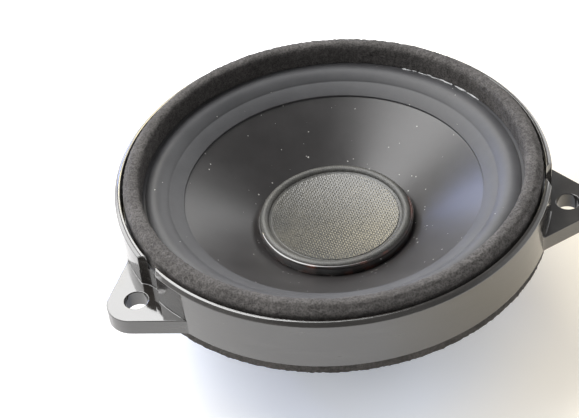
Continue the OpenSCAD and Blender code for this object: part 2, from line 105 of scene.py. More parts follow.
def linear(code: str) -> tuple[float, float, float, float]:
    """Turns an sRGB hex colour into Blender's linear colour.

    Args:
        code: colour written as "#rrggbb".

    Returns:
        Red, green, blue and alpha.
    """
    parts = [int(code[i:i + 2], 16) / 255 for i in (1, 3, 5)]
    red, green, blue = [p / 12.92 if p <= 0.04045 else ((p + 0.055) / 1.055) ** 2.4 for p in parts]
    return red, green, blue, 1.0


def per(size: float) -> float:
    """Returns the scale of a noise, cell or checker pattern whose features are size mm wide."""
    return 1 / (size * MM)


def band(pitch: float) -> float:
    """Returns the scale of a wave pattern whose bands repeat every pitch mm."""
    return math.pi / (10 * pitch * MM)


def link(tree: Tree, node: Node, sources: dict[Key, Source]) -> None:
    """Feeds a node's inputs.

    Args:
        tree: the node's tree.
        node: node that is fed.
        sources: by the name or number of an input, an output or a node, whose first output in use
            is taken.
    """
    for key, source in sources.items():
        if isinstance(source, Node):
            source = next(output for output in source.outputs if output.enabled)
        tree.links.new(source, node.inputs[key])


def add(tree: Tree, kind: str, settings: dict[Key, object] | None = None,
        links: dict[Key, Source] | None = None) -> Node:
    """Adds a node to a tree, with its settings and links.

    Args:
        tree: node tree of a material or world.
        kind: Blender's identifier of the node, without the prefix of shader nodes.
        settings: values by the name of a property, or by the name or number of an input.
        links: what feeds its inputs.

    Returns:
        The new node.
    """
    node = tree.nodes.new("ShaderNode" + kind)
    for key, value in (settings or {}).items():
        if isinstance(key, str) and hasattr(node, key):
            setattr(node, key, value)
        else:
            node.inputs[key].default_value = value
    link(tree, node, links or {})
    return node


# Patterns that several finishes share


def specks(tree: Tree, place: Socket, spacing: float, size: float, share: float) -> Node:
    """Scatters dust specks.

    Args:
        tree: tree of the material.
        place: coordinates that the specks lie on.
        spacing: mean distance between the places for a speck, in mm.
        size: largest radius of a speck, in mm.
        share: part of the places that hold a speck, 0 to 1.

    Returns:
        A value that is 1 on a speck and 0 elsewhere.
    """
    cells = add(tree, "TexVoronoi", {"Scale": per(spacing)}, {"Vector": place})
    chance = add(tree, "TexWhiteNoise", {}, {"Vector": cells.outputs["Position"]})
    reach = add(tree, "MapRange", {"From Max": share, "To Min": size / spacing, "To Max": 0.0},
        {"Value": chance})
    return add(tree, "Math", {"operation": "LESS_THAN"}, {0: cells, 1: reach})


def two_tone(tree: Tree, pattern: Node, span: Point, low: str, high: str,
             most: float = 1.0) -> Node:
    """Goes from one colour to another with a pattern.

    Args:
        tree: tree of the material.
        pattern: value that decides between the colours.
        span: its values where the change starts and ends.
        low: colour below the span.
        high: colour above it.
        most: largest share of the colour above, 0 to 1.

    Returns:
        The mixed colour.
    """
    share = add(tree, "MapRange", {"From Min": span[0], "From Max": span[1], "To Max": most},
        {"Value": pattern})
    return add(tree, "Mix", {"data_type": "RGBA", 6: linear(low), 7: linear(high)}, {0: share})


def axis_distance(tree: Tree, place: Socket) -> Node:
    """Measures the distance from the speaker's axis, in metres."""
    level = add(tree, "Mapping", {"Scale": (1.0, 1.0, 0.0)}, {"Vector": place})
    return add(tree, "VectorMath", {"operation": "LENGTH"}, {0: level})


def weave(tree: Tree, place: Socket, pitch: float) -> Node:
    """Weaves a plain cloth, with every thread over one and under one.

    Args:
        tree: tree of the material.
        place: coordinates that the threads follow in X and Y.
        pitch: distance between threads, in mm.

    Returns:
        Height of the cloth's face, 0 to 1.
    """
    warp, weft = [add(tree, "TexWave", {"bands_direction": way, "Scale": band(pitch)},
        {"Vector": place}).outputs["Fac"] for way in ("X", "Y")]
    cover = add(tree, "TexChecker", {"Scale": per(pitch)}, {"Vector": place})
    return add(tree, "Mix", {}, {0: cover.outputs["Fac"], 2: warp, 3: weft})


# Finishes


@dataclass(frozen=True)
class Finish(ABC):
    """Finish of a piece: the shader's own values, and the detail that a kind of finish adds."""

    title: str
    color: str
    roughness: float
    metallic: float = 0.0
    ior: float = 1.5
    specular: float = 0.5
    coat: float = 0.0
    coat_roughness: float = 0.05

    def material(self) -> bpy.types.Material:
        """Makes the material.

        Returns:
            The material, with its detail.
        """
        made = bpy.data.materials.new(self.title)
        made.use_nodes = True
        tree = made.node_tree
        shader = tree.nodes["Principled BSDF"]
        values = {"Base Color": linear(self.color), "Roughness": self.roughness,
            "Metallic": self.metallic, "IOR": self.ior, "Specular IOR Level": self.specular,
            "Coat Weight": self.coat, "Coat Roughness": self.coat_roughness}
        for name, value in values.items():
            shader.inputs[name].default_value = value
        self.detail(tree, shader, add(tree, "TexCoord").outputs["Object"])
        return made

    @abstractmethod
    def detail(self, tree: Tree, shader: Node, place: Socket) -> None:
        """Adds the variation that every handled surface has.

        Args:
            tree: tree of the material.
            shader: its main shader.
            place: object coordinates.
        """


@dataclass(frozen=True)
class MouldedPlastic(Finish):
    """Injection-moulded plastic: gloss that wanders, faint flow streaks, orange peel and dust."""

    streak_color: str = "#4d4b48"
    streak: float = 0.6
    peel: float = 0.5
    peel_depth: float = 0.004
    sink: float = 8.0
    sink_depth: float = 0.05
    dust: float = 0.2

    def detail(self, tree: Tree, shader: Node, place: Socket) -> None:
        """Adds streaks along the mould's parting, orange peel, sink marks and dust.

        Args:
            tree: tree of the material.
            shader: its main shader.
            place: object coordinates.
        """
        flat = add(tree, "Mapping", {"Scale": (1.0, 1.0, 9.0)}, {"Vector": place})
        flow = add(tree, "TexNoise", {"Scale": per(16), "Detail": 4.0, "Roughness": 0.6},
            {"Vector": flat})
        body = two_tone(tree, flow, (0.42, 0.72), self.color, self.streak_color, self.streak)
        dust = specks(tree, place, 2.2, 0.09, self.dust)
        gloss = add(tree, "MapRange", {"From Min": 0.45, "From Max": 0.75,
            "To Min": self.roughness * 0.8, "To Max": self.roughness * 2.6}, {"Value": flow})
        peel = add(tree, "TexNoise", {"Scale": per(self.peel), "Detail": 2.0}, {"Vector": place})
        skin = add(tree, "Bump", {"Strength": 0.6, "Distance": self.peel_depth * MM},
            {"Height": peel})
        sink = add(tree, "TexNoise", {"Scale": per(self.sink), "Detail": 1.0}, {"Vector": place})
        face = add(tree, "Bump", {"Strength": 1.0, "Distance": self.sink_depth * MM},
            {"Height": sink, "Normal": skin})
        dusty = add(tree, "Mix", {"data_type": "RGBA", 7: linear("#b9b6ae")}, {0: dust, 6: body})
        link(tree, shader, {"Base Color": dusty, "Roughness": gloss, "Normal": face})


@dataclass(frozen=True)
class CellFoam(Finish):
    """Open-cell foam: pale struts, pores darkened with painted shade, and lint caught in the pores.
    """

    # colour of the painted shade in the low pores
    pore_shade_color: str = "#403e3d"
    cell: float = 0.42
    depth: float = 0.11

    def detail(self, tree: Tree, shader: Node, place: Socket) -> None:
        """Adds cells with painted shade in their low pores, a coarser mottle, worn places and lint.

        Args:
            tree: tree of the material.
            shader: its main shader.
            place: object coordinates.
        """
        cells = add(tree, "TexVoronoi", {"feature": "SMOOTH_F1", "Scale": per(self.cell),
            "Smoothness": 0.4}, {"Vector": place})
        mottle = add(tree, "TexNoise", {"Scale": per(1.1), "Detail": 6.0, "Roughness": 0.7},
            {"Vector": place})
        worn = add(tree, "TexNoise", {"Scale": per(7), "Detail": 3.0}, {"Vector": place})
        height = add(tree, "Math", {"operation": "MULTIPLY_ADD", 1: 0.6}, {0: cells, 2: mottle})
        # painted shade: the colour follows the bump's height, so the low pores are darker
        foam = two_tone(tree, height, (0.45, 1.05), self.pore_shade_color, self.color)
        wear = add(tree, "MapRange", {"From Min": 0.3, "From Max": 0.7, "To Min": 0.82,
            "To Max": 1.22}, {"Value": worn})
        body = add(tree, "Mix", {"data_type": "RGBA", "blend_type": "MULTIPLY", 0: 1.0},
            {6: foam, 7: wear})
        lint = specks(tree, place, 1.5, 0.1, 0.14)
        skin = add(tree, "Bump", {"Strength": 0.8, "Distance": self.depth * MM}, {"Height": height})
        dusty = add(tree, "Mix", {"data_type": "RGBA", 7: linear("#8f8a83")}, {0: lint, 6: body})
        link(tree, shader, {"Base Color": dusty, "Normal": skin})


@dataclass(frozen=True)
class PressedSkin(Finish):
    """Pressed cone or surround: satin skin with a fine grain, white dust, crumbs near the cap."""

    grain: float = 0.35
    grain_depth: float = 0.006
    dust: float = 0.3
    crumb_r: float = 24.0
    haze_color: str = "#3a3a3c"

    def detail(self, tree: Tree, shader: Node, place: Socket) -> None:
        """Adds haze, grain, two sizes of dust and the crumbs of glue round the cap's foot.

        Args:
            tree: tree of the material.
            shader: its main shader.
            place: object coordinates.
        """
        haze = add(tree, "TexNoise", {"Scale": per(11), "Detail": 5.0, "Roughness": 0.65},
            {"Vector": place})
        body = two_tone(tree, haze, (0.35, 0.7), self.color, self.haze_color)
        fine = specks(tree, place, 2.2, 0.2, self.dust * 1.5)
        coarse = specks(tree, place, 6.5, 0.28, self.dust)
        near = add(tree, "Math", {"operation": "LESS_THAN", 1: self.crumb_r * MM},
            {0: axis_distance(tree, place)})
        crumbs = add(tree, "Math", {"operation": "MULTIPLY"},
            {0: specks(tree, place, 1.4, 0.24, self.dust * 1.2), 1: near})
        spots = add(tree, "Math", {"operation": "MAXIMUM"}, {0: fine, 1: coarse})
        dust = add(tree, "Math", {"operation": "MAXIMUM"}, {0: spots, 1: crumbs})
        gloss = add(tree, "MapRange", {"To Min": self.roughness * 0.85,
            "To Max": self.roughness * 1.2}, {"Value": haze})
        grain = add(tree, "TexNoise", {"Scale": per(self.grain), "Detail": 3.0}, {"Vector": place})
        skin = add(tree, "Bump", {"Strength": 0.7, "Distance": self.grain_depth * MM},
            {"Height": grain})
        dusty = add(tree, "Mix", {"data_type": "RGBA", 7: linear("#c9c7c2")}, {0: dust, 6: body})
        link(tree, shader, {"Base Color": dusty, "Roughness": gloss, "Normal": skin})


@dataclass(frozen=True)
class WovenCloth(Finish):
    """Pressed cloth: plain weave, stiffened with resin that pools in the middle; its threads carry
    painted light and shade.
    """

    resin_color: str = "#7d7a68"
    pitch: float = 0.55
    depth: float = 0.07
    patch: float = 9.0
    pool_r: float = 15.4
    pool_edge: float = 0.8
    dry: float = 0.6

    def detail(self, tree: Tree, shader: Node, place: Socket) -> None:
        """Adds the weave in height, painted light and shade that follow the weave's height, and the
        resin's patches and its gloss.

        Args:
            tree: tree of the material.
            shader: its main shader.
            place: object coordinates.
        """
        cloth = weave(tree, place, self.pitch)
        resin = add(tree, "TexNoise", {"Scale": per(self.patch), "Detail": 3.0}, {"Vector": place})
        body = two_tone(tree, resin, (0.38, 0.66), self.color, self.resin_color)
        slub = add(tree, "TexNoise", {"Scale": per(self.pitch * 1.5), "Detail": 2.0},
            {"Vector": place})
        thread = add(tree, "Math", {"operation": "MULTIPLY_ADD", 1: 1.6}, {0: slub, 2: cloth})
        # painted light and shade: the threads' colour is lighter on their crowns and darker in the
        # dips of the weave
        painted_shade = add(tree, "MapRange", {"From Min": 0.5, "From Max": 2.1, "To Min": 0.35,
            "To Max": 1.75}, {"Value": thread})
        threads = add(tree, "Mix", {"data_type": "RGBA", "blend_type": "MULTIPLY", 0: 1.0},
            {6: body, 7: painted_shade})
        skin = add(tree, "Bump", {"Strength": 0.8, "Distance": self.depth * MM}, {"Height": cloth})
        gloss = add(tree, "MapRange", {"From Min": self.pool_r * MM,
            "From Max": (self.pool_r + self.pool_edge) * MM, "To Min": self.roughness,
            "To Max": self.dry}, {"Value": axis_distance(tree, place)})
        link(tree, shader, {"Base Color": threads, "Roughness": gloss, "Normal": skin})


@dataclass(frozen=True)
class WetGlue(Finish):
    """Glue that set glossy: a dark body with thin amber places and a skin drawn smooth."""

    thin_color: str = "#5c2a15"
    patch: float = 3.5
    ripple: float = 0.015

    def detail(self, tree: Tree, shader: Node, place: Socket) -> None:
        """Adds thin places and the skin's slow waves.

        Args:
            tree: tree of the material.
            shader: its main shader.
            place: object coordinates.
        """
        depth = add(tree, "TexNoise", {"Scale": per(self.patch), "Detail": 3.0}, {"Vector": place})
        waves = add(tree, "TexNoise", {"Scale": per(1.6), "Detail": 1.0}, {"Vector": place})
        skin = add(tree, "Bump", {"Strength": 0.5, "Distance": self.ripple * MM}, {"Height": waves})
        link(tree, shader, {"Normal": skin,
            "Base Color": two_tone(tree, depth, (0.5, 0.74), self.color, self.thin_color)})


@dataclass(frozen=True)
class PlatedMetal(Finish):
    """Plated metal: matt spangle with the lathe's or the press's fine rings under it."""

    dull_color: str = "#909396"
    ring: float = 0.35
    ring_depth: float = 0.004

    def detail(self, tree: Tree, shader: Node, place: Socket) -> None:
        """Adds dull patches, gloss that wanders with them, and rings round the axis.

        Args:
            tree: tree of the material.
            shader: its main shader.
            place: object coordinates.
        """
        spangle = add(tree, "TexNoise", {"Scale": per(2.4), "Detail": 5.0, "Roughness": 0.7},
            {"Vector": place})
        gloss = add(tree, "MapRange", {"To Min": self.roughness * 0.8,
            "To Max": self.roughness * 1.3}, {"Value": spangle})
        rings = add(tree, "TexWave", {"wave_type": "RINGS", "rings_direction": "Z",
            "Scale": band(self.ring), "Distortion": 0.6}, {"Vector": place})
        skin = add(tree, "Bump", {"Strength": 0.5, "Distance": self.ring_depth * MM},
            {"Height": rings.outputs["Fac"]})
        link(tree, shader, {"Roughness": gloss, "Normal": skin,
            "Base Color": two_tone(tree, spangle, (0.38, 0.66), self.color, self.dull_color)})


@dataclass(frozen=True)
class SinteredStone(Finish):
    """Sintered ferrite: near-black ceramic with a dry grain and paler ground dust."""

    dust_color: str = "#54534f"

    def detail(self, tree: Tree, shader: Node, place: Socket) -> None:
        """Adds grain and dust.

        Args:
            tree: tree of the material.
            shader: its main shader.
            place: object coordinates.
        """
        grain = add(tree, "TexNoise", {"Scale": per(0.5), "Detail": 6.0, "Roughness": 0.75},
            {"Vector": place})
        broad = add(tree, "TexNoise", {"Scale": per(9), "Detail": 3.0}, {"Vector": place})
        skin = add(tree, "Bump", {"Strength": 0.8, "Distance": 0.05 * MM}, {"Height": grain})
        link(tree, shader, {"Normal": skin,
            "Base Color": two_tone(tree, broad, (0.4, 0.75), self.color, self.dust_color)})


@dataclass(frozen=True)
class Strands(Finish):
    """Copper in strands or turns: bright metal, duller where it was handled."""

    dull_color: str = "#7c4526"

    def detail(self, tree: Tree, shader: Node, place: Socket) -> None:
        """Adds dull patches to the metal.

        Args:
            tree: tree of the material.
            shader: its main shader.
            place: object coordinates.
        """
        wear = add(tree, "TexNoise", {"Scale": per(1.1), "Detail": 4.0}, {"Vector": place})
        link(tree, shader, {
            "Base Color": two_tone(tree, wear, (0.4, 0.68), self.color, self.dull_color)})


# Glass-filled nylon from a polished mould: deep black with clean reflections
BASKET_NYLON = MouldedPlastic("Moulded black nylon", "#2e2b28", 0.1, ior=1.6, specular=1.0)
# Same kind of plastic from a plainer tool: a little duller than the basket
SOCKET_NYLON = MouldedPlastic("Moulded black socket nylon", "#29292b", 0.3, streak=0.25)
# Polyurethane foam strip: charcoal, dusty and quite without gloss
FRONT_FOAM = CellFoam("Charcoal polyurethane foam", "#6f6c6a", 0.95, specular=0.2)
# Denser foam under the skirt: darker and finer
REAR_FOAM = CellFoam("Dark closed-cell foam", "#686562", 0.95, specular=0.2, cell=0.35, depth=0.08)
# Butyl rubber: soft satin with a blue-grey cast
SURROUND_RUBBER = PressedSkin("Pressed butyl rubber", "#4c4c4e", 0.5, haze_color="#58585a",
    dust=0.25)
# Talc-filled polypropylene: satin black that takes broad soft highlights
CONE_SKIN = PressedSkin("Pressed black polypropylene", "#2f2d2d", 0.34, haze_color="#3a3838",
    specular=0.7, dust=0.5)
# Resin-stiffened cotton: grey-green weave; threads drawn coarser than the real 0.2 mm so they show
CAP_CLOTH = WovenCloth("Pressed grey cotton cloth", "#3d3d3a", 0.22, specular=1.0,
    resin_color="#4b4942", depth=0.018, dry=0.5)
# Phenolic cotton: amber corrugated cloth, coarse weave
SPIDER_CLOTH = WovenCloth("Phenolic amber cloth", "#b08a3e", 0.7, resin_color="#8d6628", pitch=0.7,
    depth=0.1, patch=14.0)
# Rubber cement: brown-red and glossy, amber where thin
BROWN_GLUE = WetGlue("Glossy brown rubber cement", "#120806", 0.05, specular=1.0, coat=1.0,
    coat_roughness=0.03)
# Black butyl glue on the joints under the cone
BLACK_GLUE = WetGlue("Black butyl glue", "#1b1b1c", 0.3, thin_color="#38302c")
# Clear glue squeezed out beside the foam: milky and wet
CLEAR_GLUE = WetGlue("Milky clear glue", "#cfd1d2", 0.08, thin_color="#efefef", coat=1.0)
# Polyimide film: translucent amber brown, smooth
FORMER_FILM = WetGlue("Polyimide film", "#7c5422", 0.28, thin_color="#8f6730", patch=12.0)
# Zinc-plated low-carbon steel, turned and pressed
PLATED_STEEL = PlatedMetal("Zinc-plated steel", "#a9acae", 0.32, metallic=1.0)
# Bright zinc screws
SCREW_STEEL = PlatedMetal("Bright zinc screw steel", "#bfc2c4", 0.24, metallic=1.0,
    dull_color="#8f9294", ring=0.2, ring_depth=0.002)
# Strontium ferrite, ground flat: dry charcoal ceramic
FERRITE = SinteredStone("Sintered ferrite", "#2f2f31", 0.62)
# Tin over brass, drawn and stamped
TINNED_BRASS = PlatedMetal("Tinned brass", "#c8b98a", 0.26, metallic=1.0, dull_color="#a3946a",
    ring=0.5, ring_depth=0.001)
# Enamelled copper wire
COPPER_WIRE = Strands("Enamelled copper wire", "#b8612c", 0.3, metallic=1.0)
# Copper tinsel wound on cotton, bare and flexible
TINSEL = Strands("Copper tinsel braid", "#b87340", 0.38, metallic=1.0)


# Sections, in mm from the axis and up from the motor's back


def shell(face: list[Point], thickness: float) -> list[Point]:
    """Returns the section of a sheet of even thickness, round from its upper face."""
    return face + [(r, z - thickness) for r, z in reversed(face)]


def arc(middle: Point, radius: float, angles: Iterable[float]) -> list[Point]:
    """Returns points round a middle, at angles in degrees."""
    return [(middle[0] + radius * math.cos(math.radians(a)),
        middle[1] + radius * math.sin(math.radians(a))) for a in angles]


def curve(start: Point, knee: Point, end: Point, steps: int) -> list[Point]:
    """Draws a curve whose ends point at its knee.

    Args:
        start: first point.
        knee: where the lines along both ends cross.
        end: last point.
        steps: parts that the curve is drawn in.

    Returns:
        Points along the curve, with both ends.
    """
    a, b, c = Vector(start), Vector(knee), Vector(end)
    shares = [i / steps for i in range(steps + 1)]
    return [tuple(a.lerp(b, share).lerp(b.lerp(c, share), share)) for share in shares]


# Mesh tools

SEAM = 1e-7  # metres within which points of a section or a lead are one
WELD = 1e-6  # metres within which points of a CAD node are one
FLAT = 0.4  # degrees under which an edge of a CAD node goes
CREASE = 30.0  # degrees past which an edge of a CAD node is rounded
LEVEL = 0.02  # sideways part of a face's normal under which the face counts as level


def spun(profile: list[Point], steps: int = TURN_STEPS,
         corners: dict[int, float] | None = None) -> Shape:
    """Spins a closed section round the speaker's axis.

    Args:
        profile: radius and height of each point, in mm.
        steps: faces round the axis.
        corners: rounding of single points, in mm, by their place in the profile.

    Returns:
        A mesh with closed seams and poles, and faces that point outwards.
    """
    shape = bmesh.new()
    points = [shape.verts.new((r * MM, 0.0, z * MM)) for r, z in profile]
    for ends in zip(points, points[1:] + points[:1]):
        shape.edges.new(ends)
    for place, size in (corners or {}).items():
        bmesh.ops.bevel(shape, geom=[points[place]], affect="VERTICES", offset=size * MM,
            segments=4, profile=0.5, material=-1)
    bmesh.ops.spin(shape, geom=shape.verts[:] + shape.edges[:], cent=(0.0, 0.0, 0.0),
        axis=(0.0, 0.0, 1.0), angle=math.tau, steps=steps, use_merge=True)
    bmesh.ops.remove_doubles(shape, verts=shape.verts, dist=SEAM)
    bmesh.ops.recalc_face_normals(shape, faces=shape.faces)
    return shape


def piece(name: str, shape: Shape, smooth_angle: float = 35.0) -> Object:
    """Makes an object of a mesh, smooth except over sharp edges.

    Args:
        name: name of the piece.
        shape: its mesh, which is freed.
        smooth_angle: angle in degrees past which an edge stays sharp.

    Returns:
        The object, at the origin.
    """
    mesh = bpy.data.meshes.new(name)
    shape.to_mesh(mesh)
    shape.free()
    mesh.shade_smooth()
    mesh.set_sharp_from_angle(angle=math.radians(smooth_angle))
    made = bpy.data.objects.new(name, mesh)
    bpy.context.scene.collection.objects.link(made)
    return made


@dataclass(frozen=True)
class Axis:
    """Upright axis that faces of a CAD node are turned about.

    Their points lie no further than reach mm from it, and their normals point at it to within
    slack degrees.
    """

    x: float = 0.0
    y: float = 0.0
    reach: float = 100.0
    slack: float = 6.0

    def normals(self, face: bmesh.types.BMFace) -> list[Vector]:
        """Works out the turned surface's normals at a face's points.

        Args:
            face: flat face, as the CAD node has it.

        Returns:
            One normal for each point, or none if the face isn't turned about this axis.
        """
        flat = face.normal.xy
        if flat.length < LEVEL:
            return []
        made = []
        for v in face.verts:
            spoke = v.co.xy - Vector((self.x, self.y)) * MM
            if not 0 < spoke.length < self.reach * MM:
                return []
            spoke.normalize()
            side = flat.normalized().dot(spoke)
            if abs(side) < math.cos(math.radians(self.slack)):
                return []
            out = spoke * math.copysign(flat.length, side)
            made.append(Vector((out.x, out.y, face.normal.z)))
        return made


def moulded_copy(name: str, node: str, edge: float, axes: list[Axis]) -> Object:
    """Copies a CAD node as a merged solid, rounds its edges and shades its turned faces as round.

    Args:
        name: name of the piece.
        node: name of the CAD node.
        edge: width of the rounding, in mm.
        axes: axes that its faces are turned about.

    Returns:
        The piece.
    """
    shape = bmesh.new()
    shape.from_mesh(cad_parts[node].data)
    bmesh.ops.remove_doubles(shape, verts=shape.verts, dist=WELD)
    bmesh.ops.dissolve_limit(shape, angle_limit=math.radians(FLAT), verts=shape.verts,
        edges=shape.edges)
    creases = [e for e in shape.edges if e.calc_face_angle(0.0) > math.radians(CREASE)]
    rounded = set(bmesh.ops.bevel(shape, geom=creases, affect="EDGES", offset=edge * MM, segments=3,
        profile=0.5, material=-1)["faces"])
    shape.normal_update()
    walls = {}
    for face in shape.faces:
        if face not in rounded:
            turned = next((found for found in (axis.normals(face) for axis in axes) if found), None)
            walls[face] = dict(zip(face.verts, turned or [face.normal.copy()] * len(face.verts)))
    shading = []
    for face in shape.faces:
        for v in face.verts:
            near = [face] if face in walls else [f for f in v.link_faces if f in walls]
            shading.append(max((walls[f][v] for f in near), key=face.normal.dot, default=Vector()))
    made = piece(name, shape, 180.0)
    made.data.normals_split_custom_set(shading)
    return made


def ruffle(shape: Shape, grain: float, height: float, shift: float) -> None:
    """Moves a mesh's points in and out, as foam or glue is never quite even.

    Args:
        shape: mesh to change.
        grain: size of the unevenness, in mm.
        height: how far a point may move, in mm.
        shift: offset of the pattern, so that two pieces differ.
    """
    falloff, step, layers = 0.6, 2.0, 3
    offset = Vector((shift,) * 3)
    shape.normal_update()
    moves = [v.normal * height * MM
        * noise.fractal(v.co / (grain * MM) + offset, falloff, step, layers) for v in shape.verts]
    for v, move in zip(shape.verts, moves):
        v.co += move


def bend_by_radius(ring: Object) -> None:
    """Stands a ring's points on one spoke by their radius while its transform is baked, then puts
    them back.

    Args:
        ring: piece that is held by the basket outside and by the cone inside.
    """
    places = [v.co.copy() for v in ring.data.vertices]
    for v in ring.data.vertices:
        v.co = (math.hypot(v.co.x, v.co.y), 0.0, v.co.z)
    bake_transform(ring)
    for v, place in zip(ring.data.vertices, places):
        v.co = place


def dress(made: Object, finish: Finish, slot: Slot, body: Body | None, *nodes: str) -> None:
    """Gives a piece its finish, its body and the CAD nodes that it stands for.

    Args:
        made: the piece.
        finish: what it is made of.
        slot: material slot of the record; not used.
        body: body that it rides on, or None where it bends between two.
        nodes: CAD nodes that it replaces.
    """
    made.data.materials.clear()
    made.data.materials.append(finish.material())
    if body is not None:
        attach(made, body.value)
    if nodes:
        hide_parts(*nodes)
    log.info("%s: %s, %d faces", made.name, finish.title, len(made.data.polygons))


# Sub-assemblies


@dataclass(frozen=True)
class Datum:
    """Sizes that several sub-assemblies share."""

    cone_angle: float = 32.0
    cone_edge_r: float = 36.3
    cone_edge_z: float = 38.9
    cone_t: float = 0.8
    ledge_z: float = 42.0
    former_r: float = 13.1
    neck_gap: float = 0.1
    spider_gap: float = 0.7
    spider_t: float = 0.4
    seat_h: float = 5.1
    floor_t: float = 2.0

    def cone_z(self, r: float) -> float:
        """Returns the height of the cone's face at a radius."""
        return self.cone_edge_z - (self.cone_edge_r - r) * math.tan(math.radians(self.cone_angle))

    def seat_z(self) -> float:
        """Returns the height of the spider's seat in the basket."""
        neck_z = self.cone_z(self.former_r + self.neck_gap)
        return neck_z - self.cone_t - self.spider_gap - self.spider_t

    def motor_h(self) -> float:
        """Returns the height of the motor, up to the basket's floor."""
        return self.seat_z() - self.seat_h - self.floor_t


DATUM = Datum()


@dataclass
class Basket:
    """Moulded basket, with every edge rounded as the mould leaves it."""

    edge: float = 0.22
    hole_r: float = 56.3
    tip_shift: float = 0.8
    pocket_r: float = 7.7
    slack: float = 9.0
    ears: tuple[float, ...] = (90.0, 201.15, -21.15)

    def build(self) -> None:
        """Builds and dresses the basket."""
        axes = [Axis()]
        for turn in self.ears:
            way = Vector((math.cos(math.radians(turn)), math.sin(math.radians(turn))))
            axes += [Axis(*(way * r), self.pocket_r, self.slack)
                for r in (self.hole_r, self.hole_r + self.tip_shift)]
        dress(moulded_copy("basket_moulding", "basket", self.edge, axes), BASKET_NYLON, Slot.BASKET,
            Body.FRAME, "basket")


@dataclass
class Gaskets:
    """Foam rings on the ledge and under the skirt."""

    front_in: float = 46.1
    front_out: float = 50.3
    front_z0: float = 42.45
    crest_z: float = 48.4
    crest_w: float = 1.0
    fall: float = 1.7
    rear_in: float = 49.7
    rear_out: float = 52.1
    rear_z0: float = 30.0
    rear_z1: float = 32.6
    corner: float = 0.4
    brow_corner: float = 0.6
    fuzz: float = 0.16
    fuzz_grain: float = 0.9
    coarse: float = 0.8
    cuts: int = 5
    steps: int = 760

    def front_profile(self) -> list[Point]:
        """Draws the front ring's section: flat crest, sloped outside and rounded inside.

        Returns:
            Points round the section, from its inner foot by way of its outer side.
        """
        crest_out = (self.front_in + self.front_out + self.crest_w) / 2
        brow = self.crest_z - self.fall
        foot = self.front_z0 + self.fuzz
        return [(self.front_in, foot), (self.front_out, foot), (self.front_out, brow),
            (crest_out, self.crest_z)] + curve((crest_out - self.crest_w, self.crest_z),
            (self.front_in, self.crest_z), (self.front_in, brow), steps=6)

    def ring(self, name: str, profile: list[Point], corners: dict[int, float],
             shift: float) -> Object:
        """Makes a foam ring with soft edges and a ragged skin.

        Args:
            name: name of the piece.
            profile: its section.
            corners: rounding of single points, by their place in the section.
            shift: offset of the raggedness.

        Returns:
            The ring.
        """
        shape = spun(profile, self.steps, corners)
        coarse = []
        for edge in shape.edges:
            a, b = edge.verts[0].co, edge.verts[1].co
            if max(abs(a.xy.length - b.xy.length), abs(a.z - b.z)) > self.coarse * MM:
                coarse.append(edge)
        bmesh.ops.subdivide_edges(shape, edges=coarse, cuts=self.cuts, use_grid_fill=True)
        ruffle(shape, self.fuzz_grain, self.fuzz, shift)
        return piece(name, shape, 60.0)

    def build(self) -> None:
        """Builds and dresses both rings."""
        front = self.ring("front_foam_ring", self.front_profile(),
            {2: self.brow_corner, 3: self.corner}, 3.1)
        dress(front, FRONT_FOAM, Slot.FRONT_FOAM, Body.FRAME, "front_gasket")
        rear = self.ring("rear_foam_ring", [(self.rear_in, self.rear_z0),
            (self.rear_out, self.rear_z0), (self.rear_out, self.rear_z1),
            (self.rear_in, self.rear_z1)], {1: self.corner, 2: self.corner}, 8.7)
        dress(rear, REAR_FOAM, Slot.REAR_FOAM, Body.FRAME, "rear_gasket")


